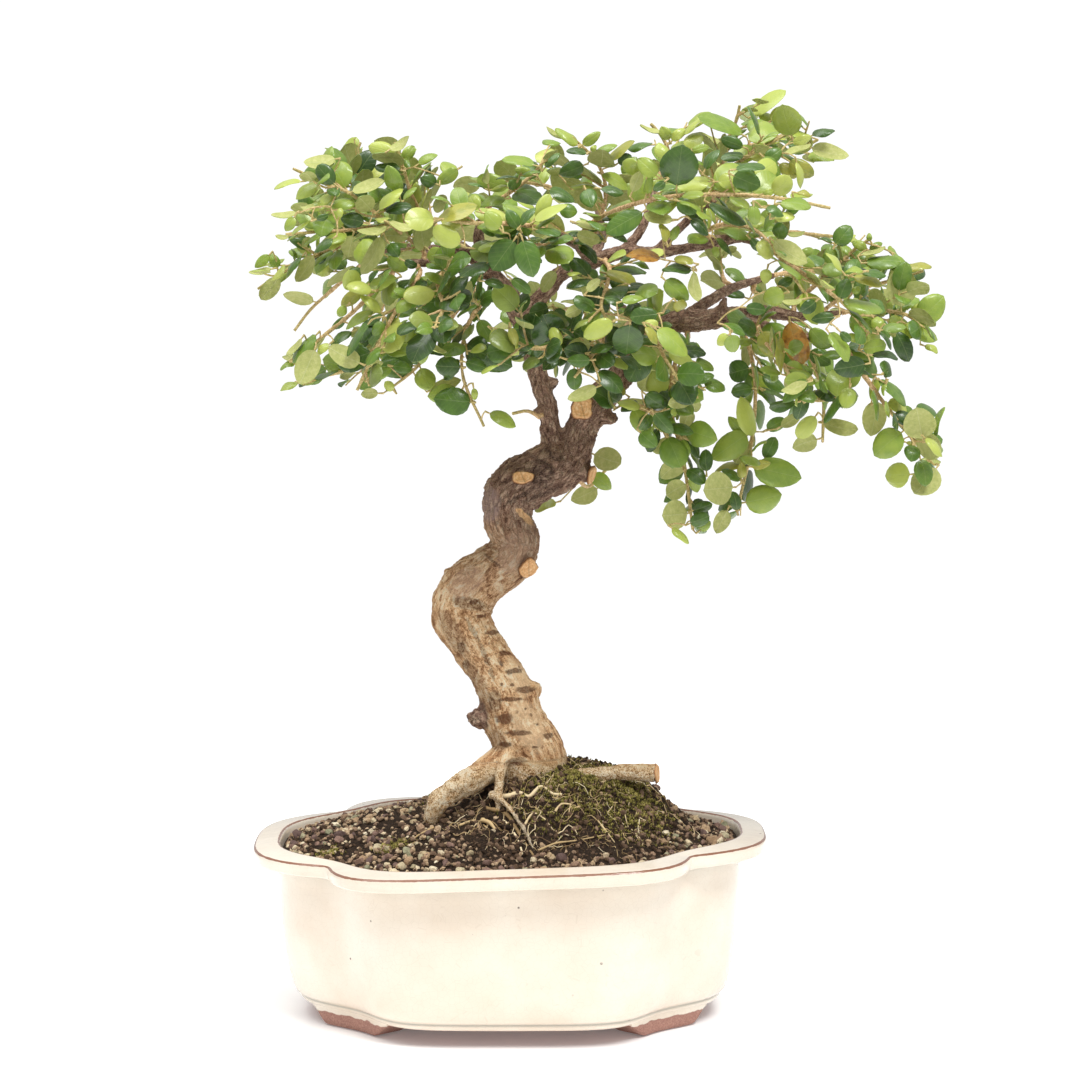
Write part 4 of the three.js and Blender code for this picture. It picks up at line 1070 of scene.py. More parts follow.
def scatter_grains(name, count, sizes, detail, finish, seed, keep, tone):
    """Stones and crumbs on the soil. keep says how likely a place holds one, tone gives its tone."""
    rng = np.random.default_rng(seed)
    points, faces = ball(detail)
    made = Patchwork()
    while count > 0:
        angle = rng.uniform(0, 2 * math.pi)
        share = GRAIN_REACH * math.sqrt(rng.uniform())
        place = soil_place(np.array(angle), np.array(share))
        if rng.uniform() > keep(place[0], place[1], share):
            continue
        size = rng.uniform(*sizes) * rng.uniform(0.75, 1.25)
        shape = points * size * rng.uniform(*GRAIN_STRETCH, 3)
        shape = shape * (1 + rng.uniform(-GRAIN_DENT, GRAIN_DENT, (len(points), 1)))
        inward = 1 if share * soil_reach(angle) + size < soil_reach(angle) else GRAIN_INWARD
        rise = size * rng.uniform(*GRAIN_LIFT)
        middle = place * np.array([inward, inward, 1]) + np.array([0, 0, rise])
        made.add(shape @ turned(rng).T + middle, faces, grain=np.array([tone(rng, place), 0, 0]))
        count -= 1
    grains = made.make(name, [finish], sharp_above=28)


def make_grains():
    crumbs = grain_finish("soil_crumbs", [
        (0.0, "#2a1f18"), (0.25, "#54402f"), (0.45, "#836a57"), (0.65, "#ab8f74"), (0.82, "#cfb492"),
        (1.0, "#f2e2c0"),
    ])
    stones = grain_finish("soil_stones", [
        (0.0, "#6b5650"), (0.2, "#927568"), (0.4, "#b59676"), (0.58, "#d0b48f"), (0.7, "#9a9a7c"),
        (0.85, "#e3d0ac"), (1.0, "#f8ebcc"),
    ], roughness=0.8)
    scatter_grains(
        "soil_crumbs", 5200, (0.5, 1.3), 1, crumbs, 11,
        keep=lambda x, y, share: 1 - 0.4 * in_dark_soil(x, y),
        tone=lambda rng, place: rng.beta(2.0, 1.7 + 3 * in_dark_soil(place[0], place[1])),
    )
    scatter_grains(
        "soil_stones", 620, (0.9, 1.9), 2, stones, 12,
        keep=lambda x, y, share: max(0.04, 1 - 1.6 * in_dark_soil(x, y)) * (0.3 + 0.7 * share),
        tone=lambda rng, place: rng.uniform(0, 1) ** 1.3,
    )


# Moss grows round the trunk's foot, all over the mound, and in patches on the left: x, y, width, depth, and
# how many tufts of spikes
MOSS_PATCHES = [
    (36, -6, 15, 11, 700), (20, -14, 13, 7, 480), (-44, -38, 7, 5, 240), (-70, -30, 7, 4, 130),
    (50, -14, 12, 11, 480), (20, 26, 24, 14, 500), (-20, 20, 14, 10, 160), (30, -24, 30, 14, 900),
]
SPIKES_A_TUFT = 4
SPIKE_FACES = [(0, 1, 3), (1, 2, 3), (2, 0, 3), (2, 1, 0)]
SPIKE_HALF_WIDTH = (0.2, 0.36)
SPIKE_HEIGHT = (0.6, 1.5)


def soil_top(x, y):
    """The soil's surface at a place seen from above."""
    angle = math.atan2(y, x)
    share = math.hypot(x, y) / float(soil_reach(np.array(angle)))
    return soil_place(np.array(angle), np.array(share)), share


def make_moss():
    rng = np.random.default_rng(21)
    made = Patchwork()
    for x, y, wide, deep, count in MOSS_PATCHES:
        for _ in range(count):
            spot_x = x + rng.normal() * wide * 0.5
            spot_y = y + rng.normal() * deep * 0.5
            place, share = soil_top(spot_x, spot_y)
            if share > 0.95:
                continue
            tone = rng.uniform()
            for _ in range(SPIKES_A_TUFT):
                foot = place + np.array([*rng.normal(0, 0.45, 2), -0.2])
                lean = unit(np.array([*rng.normal(0, 0.55, 2), 1.0]))
                side = unit(cross(lean, unit(rng.normal(size=3))))
                half_width = rng.uniform(*SPIKE_HALF_WIDTH)
                tall = rng.uniform(*SPIKE_HEIGHT)
                back = cross(lean, side) * half_width
                aside = side * half_width
                corners = [foot + aside, foot - aside + back, foot - aside - back, foot + lean * tall]
                made.add(corners, SPIKE_FACES, grain=np.array([tone, 0, 0]))
    moss = made.make("moss", [moss_finish()])


# Thin roots that show on the mound, as seen from the front in (x, z) points, with a radius and a tone
SHOWN_ROOTS = [
    (
        [(-7.4, 78.4), (-1.6, 78.4), (3.5, 79.6), (7.4, 78.4), (12, 81.6), (16.7, 79.2), (20.2, 78.4)],
        0.95, 0.85,
    ),
    ([(-2.7, 68.7), (2.3, 62.5), (5, 55.1)], 0.6, 0.9),
    ([(-9.3, 73.8), (-1.6, 71.5), (2.3, 65.6), (6.2, 59), (8.9, 55)], 0.8, 0.45),
    ([(5.4, 66.8), (8.9, 71.8), (13.2, 69.5), (17.1, 64.5)], 0.45, 0.8),
    ([(17.1, 71.8), (20.2, 75.3), (25.6, 74.6)], 0.45, 0.75),
    ([(10.9, 57.1), (18, 59.5), (25.6, 61), (37.3, 62.9)], 0.45, 0.6),
    ([(24, 73), (33, 76), (42, 76)], 0.4, 0.7),
    ([(34, 69), (38, 64), (41, 60)], 0.4, 0.75),
    ([(-11, 69), (-8.2, 67.6), (-6, 65)], 0.9, 0.7),
    ([(-20, 67), (-14, 69), (-9, 66)], 0.45, 0.7),
    ([(-30, 66), (-36, 63), (-40, 60)], 0.4, 0.6),
]
FRONT_OF_SOIL = -66
HAIR_COUNT = 400
HAIR_MIDDLE = (MOUND_MIDDLE[0] - 4, MOUND_MIDDLE[1] - 20)
HAIR_SPREAD = (24, 18)
HAIR_STEP = 1.25


def on_soil(x, z):
    """The place on the soil that is seen from the front at (x, z)."""
    for depth in np.arange(FRONT_OF_SOIL, 30, 0.5):
        place = seen((x, z, depth))
        top, share = soil_top(place[0], place[1])
        if share < 1 and place[2] < top[2]:
            return top
    return place


def add_tube(made, line, radii, sides, **values):
    """A closed tube round a line."""
    rings, _ = rings_round(line, radii, sides)
    made.add(rings.reshape(-1, 3), skin_faces(len(rings), sides), **values)


def make_root_hairs():
    rng = np.random.default_rng(31)
    made = Patchwork()
    for points, radius, tone in SHOWN_ROOTS:
        line = fine_line([on_soil(*p) + np.array([0, 0, 0.4 * radius]) for p in points], 0.9)
        radii = radius * np.linspace(1.1, 0.55, len(line)) * (1 + 0.12 * rng.normal(size=len(line)))
        add_tube(made, line, radii, 7, grain=np.array([tone, 0, 0]))
    hair_count = 0
    while hair_count < HAIR_COUNT:
        x = HAIR_MIDDLE[0] + rng.normal() * HAIR_SPREAD[0]
        y = HAIR_MIDDLE[1] + rng.normal() * HAIR_SPREAD[1]
        _, share = soil_top(x, y)
        if share > 0.86:
            continue
        hair_count += 1
        heading = rng.uniform(0, 2 * math.pi)
        bend = rng.normal() * 0.16
        count = rng.integers(7, 15)
        lift = rng.uniform(0.2, 1.2)
        line = []
        for i in range(count):
            arch = math.sin(math.pi * i / (count - 1))
            x += HAIR_STEP * math.cos(heading)
            y += HAIR_STEP * math.sin(heading)
            heading += bend + rng.normal() * 0.34
            spot, _ = soil_top(x, y)
            line.append(spot + np.array([0, 0, lift * arch - 0.15]))
        line = np.array(line)
        radii = (0.1 + 0.17 * rng.uniform() ** 2) * np.linspace(1.15, 0.5, count)
        add_tube(made, line, radii, 4, grain=np.array([rng.beta(1.7, 1.5), 0, 0]))
    hairs = made.make("root_hairs", [root_hair_finish()])


# Wood

BARK_VOXEL = 0.72
LINE_STEP = 1.0
KIND_TRUNK, KIND_BRANCH, KIND_ROOT, KIND_KNOB = range(4)
KIND_SHIFT = 37.0
TRUNK_SIDES = 40
LIMB_SIDES = 18
THICK_LIMB = 7
ROOT_TOP = 95
ROOT_FADE = 3
BURL_PLACE = (-13, 111, -5)
BURL_REACH = 6
BURL_RISE = 2.6
BACK_FROM = 5
FAR_AWAY = 1000

# The bark turns dark between two heights, lower on one side. At the foot it turns green on the right, from
# one height down to another, which are given as how far down they lie.
DARK_BARK = (148, 206)
DARK_LEAN = 6
GREEN_DOWN = (-98, -88)
GREEN_FROM = (2, 8)
GREEN_STRENGTH = 0.8

# Scales of the bark's noises, round and along a limb or else in space
FURROW_SCALE = np.array([0.42, 0.42, 0.17])
HOOP_SCALE = np.array([0.12, 0.12, 0.62])
KNOT_SCALE = 0.16
CRUMB_SCALE = 0.75
BURL_SCALE = 0.6

# How far hoops, knots and crumbs raise each kind of bark, and its furrows' depth and narrowness
ROUGH_BARK = (0.0, 0.8, 0.7, 0.7, 3.2)
SMOOTH_BARK = (0.3, 0.7, 0.2, 0.3, 4)
FLAKY_BARK = (0.0, 0.9, 0.8, 0.5, 3)

# Brown lenticels on the front of the trunk: x, z, half length, half height, lean
LENTICELS = [
    (-7.4, 143.7, 3.2, 1.0, 12), (1.2, 128.5, 3.6, 1.2, 10), (-3.5, 131.7, 1.1, 1.2, 0),
    (6.2, 121.2, 4.2, 1.3, 4), (0, 117.3, 5.6, 0.8, 3), (-2.4, 109.5, 3.8, 2.1, 10),
    (3, 104.1, 5.4, 1.2, 0), (14.8, 102.9, 1.9, 1.4, 0), (5.8, 113.4, 0.7, 0.6, 0),
    (8.2, 111.5, 0.6, 0.6, 0), (0.8, 122.7, 0.9, 0.8, 0), (-3.5, 123.5, 0.9, 0.8, 0),
    (-2, 135.5, 2.6, 0.9, 8), (-11, 150, 2.4, 0.8, 15), (9.5, 98.5, 1.4, 0.7, 0),
    (-2, 99.5, 3, 1, -4), (3, 139.5, 1.4, 0.7, 0), (10.5, 107.5, 0.7, 0.6, 0),
    (-14, 155.5, 2.2, 0.8, 20),
]

# Patches of another tone there: colour, strength and ellipses. The dark ellipse at (-16, 155) is painted
# shade
# under the overlapping bend
BARK_TONES_AND_SHADE = [
    ("#ffdfb4", 0.6, [(7, 107, 13, 6.5, -65), (3, 126, 9, 4.5, -65)]),
    ("#ffcf98", 2.0, [(5.6, 189, 4.8, 1.5, -45)]),
    ("#b59a92", 0.9, [(-7.6, 193.5, 4.4, 7.5, 0)]),
    ("#c49e86", 0.8, [(2, 175, 10, 7, 60), (-17, 163, 9, 6, 45)]),
    ("#7f5f48", 0.75, [(-22, 143, 12, 4, -62), (-12, 122, 14, 3.4, -65), (-5, 101, 5, 4, -70)]),
    ("#573f30", 0.85, [
        (-19, 137.9, 1.8, 2.6, 0), (-17.1, 131.3, 1.2, 2.2, 0), (-5.8, 116.9, 2.9, 4.9, 8),
        (-14.4, 144.4, 5.8, 1.3, -60), (-10, 135, 5.4, 1.2, -70), (-7.2, 127.4, 3.2, 1.0, -70),
        # painted shade under the overlapping bend: the ellipse at (-16, 155)
        (-7.2, 172.2, 4.6, 0.6, -38), (-16, 155, 8, 2.8, -12), (2, 92.5, 5, 1.8, 10),
    ]),
    ("#3a2c24", 0.85, [
        (12.6, 206, 5, 7, 0), (4, 197, 8, 1, 30), (16, 213, 6, 2, -20), (12, 197.5, 9, 1.2, 22),
    ]),
    ("#9a9488", 0.7, [(6, 64, 10, 1.8, -58)]),
]

# Spurs and stubs too small for the solids
SPURS = [
    [(16, 241, 0, 3), (18.6, 242, -2, 1)],
    [(13, 229, -1, 3), (9, 230, -2, 1.1)],
    [(15, 223, -1, 3.4), (12, 223.5, -3, 1.6)],
    [(26, 221, 0, 5), (23.3, 220.6, -4, 1.6)],
    [(-19, 167, 2, 4), (-25.5, 168, -1, 1)],
]


def wood_lines():
    """Every limb as (kind, line with radii)."""
    limbs = [(KIND_TRUNK, TRUNK)]
    limbs += [(KIND_ROOT, points) for points in ROOTS.values()]
    limbs += [(KIND_BRANCH, points) for points in BRANCHES.values()]
    limbs += [(KIND_KNOB, points) for points in [*KNOBS, *SPURS]]
    found = []
    for kind, points in limbs:
        places = np.array([[*seen(point), point[3]] for point in points])
        found.append((kind, fine_line(places, LINE_STEP)))
    return found


def remeshed(made, voxel):
    """The mesh of the object with one even skin over all its overlapping parts. The object goes."""
    modifier = made.modifiers.new("skin", "REMESH")
    modifier.mode = "VOXEL"
    modifier.voxel_size = voxel * MM
    smoother = made.modifiers.new("smooth", "SMOOTH")
    smoother.factor = 0.5
    smoother.iterations = 3
    depsgraph = bpy.context.evaluated_depsgraph_get()
    mesh = bpy.data.meshes.new_from_object(made.evaluated_get(depsgraph))
    bpy.data.objects.remove(made)
    return mesh


def read_points(mesh):
    points = np.zeros(len(mesh.vertices) * 3)
    mesh.vertices.foreach_get("co", points)
    normals = np.zeros(len(mesh.vertices) * 3)
    mesh.vertex_normals.foreach_get("vector", normals)
    return (points.reshape(-1, 3) - POT_MIDDLE) / MM, normals.reshape(-1, 3)


def limb_places(lines, points):
    """For each point, its nearest limb's kind, place along it, radius and direction round it."""
    tree = KDTree(sum(len(line) for _, line in lines))
    facts = []
    for kind, line in lines:
        _, sideways = rings_round(line[:, :3], line[:, 3], 3)
        run = np.concatenate([[0], np.cumsum(np.linalg.norm(np.diff(line[:, :3], axis=0), axis=1))])
        for place, (side, up), along in zip(line, sideways, run):
            tree.insert(Vector(place[:3]), len(facts))
            facts.append((kind, along, place[3], place[:3], side, up))
    tree.balance()
    found = [facts[tree.find(Vector(point))[1]] for point in points]
    kinds = np.array([f[0] for f in found])
    along = np.array([f[1] for f in found])
    radius = np.array([f[2] for f in found])
    out = points - np.array([f[3] for f in found])
    across = np.sum(out * np.array([f[4] for f in found]), axis=1)
    upward = np.sum(out * np.array([f[5] for f in found]), axis=1)
    reach = np.maximum(np.hypot(across, upward), 1e-6)
    return kinds, along, radius, across / reach, upward / reach


def front_places(points):
    """Where each point is seen from the front as (x, z, 0). Those at the back are moved far away."""
    x, z = as_seen(points)
    return np.stack([x, z + FAR_AWAY * (points[:, 1] > BACK_FROM), 0 * x], axis=1)


def bark_lift(points, bark, radius, dark, root):
    """How far the bark rises at each point."""
    lift = np.zeros(len(points))
    for i, place in enumerate(points):
        furrow = noise.noise(Vector(bark[i] * FURROW_SCALE))
        hoop = noise.noise(Vector(bark[i] * HOOP_SCALE))
        knot = noise.noise(Vector(place * KNOT_SCALE))
        crumb = noise.noise(Vector(place * CRUMB_SCALE))
        rises = []
        for hoops, knots, crumbs, deep, narrow in (ROUGH_BARK, SMOOTH_BARK, FLAKY_BARK):
            grooves = deep * max(0, 1 - narrow * abs(furrow))
            rises.append(hoops * hoop + knots * knot + crumbs * crumb - grooves)
        thin = min(radius[i] / THICK_LIMB, 1)
        lift[i] = root[i] * rises[2] * max(thin, 0.5)
        lift[i] += (1 - root[i]) * (dark[i] * rises[0] + (1 - dark[i]) * rises[1]) * thin
    return lift


def make_wood():
    lines = wood_lines()
    rough = Patchwork()
    for kind, line in lines:
        sides = TRUNK_SIDES if kind == KIND_TRUNK else LIMB_SIDES
        rings, _ = rings_round(line[:, :3], line[:, 3], sides)
        rough.add(rings.reshape(-1, 3), skin_faces(len(rings), sides))
    mesh = remeshed(rough.make("wood_rough", []), BARK_VOXEL)
    points, normals = read_points(mesh)
    grown = limb_places([entry for entry in lines if entry[0] != KIND_KNOB], points)
    rootless = limb_places([entry for entry in lines if entry[0] in (KIND_TRUNK, KIND_BRANCH)], points)
    above = points[:, 2] > ROOT_TOP
    kinds, along, radius, side, up = (np.where(above, high, low) for high, low in zip(rootless, grown))
    root = (kinds == KIND_ROOT) * smooth_share(-points[:, 2], -ROOT_TOP, ROOT_FADE - ROOT_TOP)
    dark = smooth_share(points[:, 2] + DARK_LEAN * side, *DARK_BARK)
    bark = np.stack([side * radius, up * radius, along + KIND_SHIFT * kinds], axis=1)
    lift = bark_lift(points, bark, radius, dark, root)
    burl = np.exp(-np.sum((points - seen(BURL_PLACE)) ** 2, axis=1) / BURL_REACH ** 2)
    lift += burl * np.array([BURL_RISE * noise.noise(Vector(place * BURL_SCALE)) for place in points])
    points = points + normals * lift[:, None]
    mesh.vertices.foreach_set("co", (points * MM + POT_MIDDLE).ravel())
    green = smooth_share(-points[:, 2], *GREEN_DOWN) * smooth_share(points[:, 0], *GREEN_FROM)
    green = green * (1 - root) * GREEN_STRENGTH
    dark = np.maximum(dark, smooth_share(burl, 0.15, 0.5))
    set_vectors(mesh, "bark_place", bark)
    set_vectors(mesh, "bark_kind", np.stack([dark, root, green], axis=1))
    set_vectors(mesh, "front_place", front_places(points))
    mesh.materials.clear()
    mesh.materials.append(bark_finish())
    mesh.polygons.foreach_set("use_smooth", [True] * len(mesh.polygons))
    mesh.update()
    wood = put_in_scene("wood", mesh)
    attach(wood, "root")
    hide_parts("trunk")


# Sawn faces: middle (x, z, depth), direction that the face looks in, half width, half height, greyness,
# and how square the face is, from a round one's 2
CUTS = [
    ((28, 231, -10), (0.1, -1, 0.15), 4.2, 4.0, 0.0, 4.5),
    ((5, 204.4, -12.2), (0.05, -1, 0.35), 4.6, 2.5, 0.1, 2.2),
    ((32.1, 205.1, -4.3), (1, -0.55, -0.3), 2.9, 3.6, 0.1, 2.4),
    ((7.4, 168.6, -8.6), (0.5, -1, -0.5), 4.6, 4.6, 0.2, 1.4),
    ((57.8, 88, -13), (1, -0.25, 0.1), 3.8, 3.8, 0.5, 2),
]


def make_cuts():
    rng = np.random.default_rng(41)
    made = Patchwork()
    sides, steps = 28, 6
    for middle, looks, wide, high, grey, power in CUTS:
        normal = unit(np.array(looks, float))
        side = unit(cross(np.array([0.0, 0.0, 1.0]), normal))
        rise = cross(normal, side)
        turns = 2 * math.pi * np.arange(sides) / sides
        lopsided = 0.07 * np.sin(2 * turns + rng.uniform(0, 6))
        lopsided = lopsided + 0.06 * np.sin(3 * turns + rng.uniform(0, 6))
        square = (np.abs(np.cos(turns)) ** power + np.abs(np.sin(turns)) ** power) ** (-1 / power)
        ragged = square * (1 + lopsided + 0.035 * rng.normal(size=sides))
        points = []
        places = []
        for ring in range(steps, -1, -1):
            share = ring / steps
            for i in range(sides):
                turn = 2 * math.pi * i / sides
                reach = share * (ragged[i] * share + 1 - share)
                bowl = 0.35 * (share ** 4) - 0.25 * (1 - share)
                edge = -1.2 if ring == steps else 0
                aside = side * wide * reach * math.cos(turn)
                upward = rise * high * reach * math.sin(turn)
                points.append(seen(middle) + aside + upward + normal * (bowl + edge))
                places.append((share, turn, grey))
        made.add(points, skin_faces(steps + 1, sides), cut_place=np.array(places))
    cuts = made.make("sawn_faces", [cut_finish()])


# Foliage

class Draw:
    """A seeded row of numbers, the same that the solids' leaves are drawn from."""

    def __init__(self, seed):
        self.state = seed

    def between(self, low, high):
        self.state = (self.state * 1664525 + 1013904223) % 4294967296
        return low + (high - low) * (self.state / 4294967296)


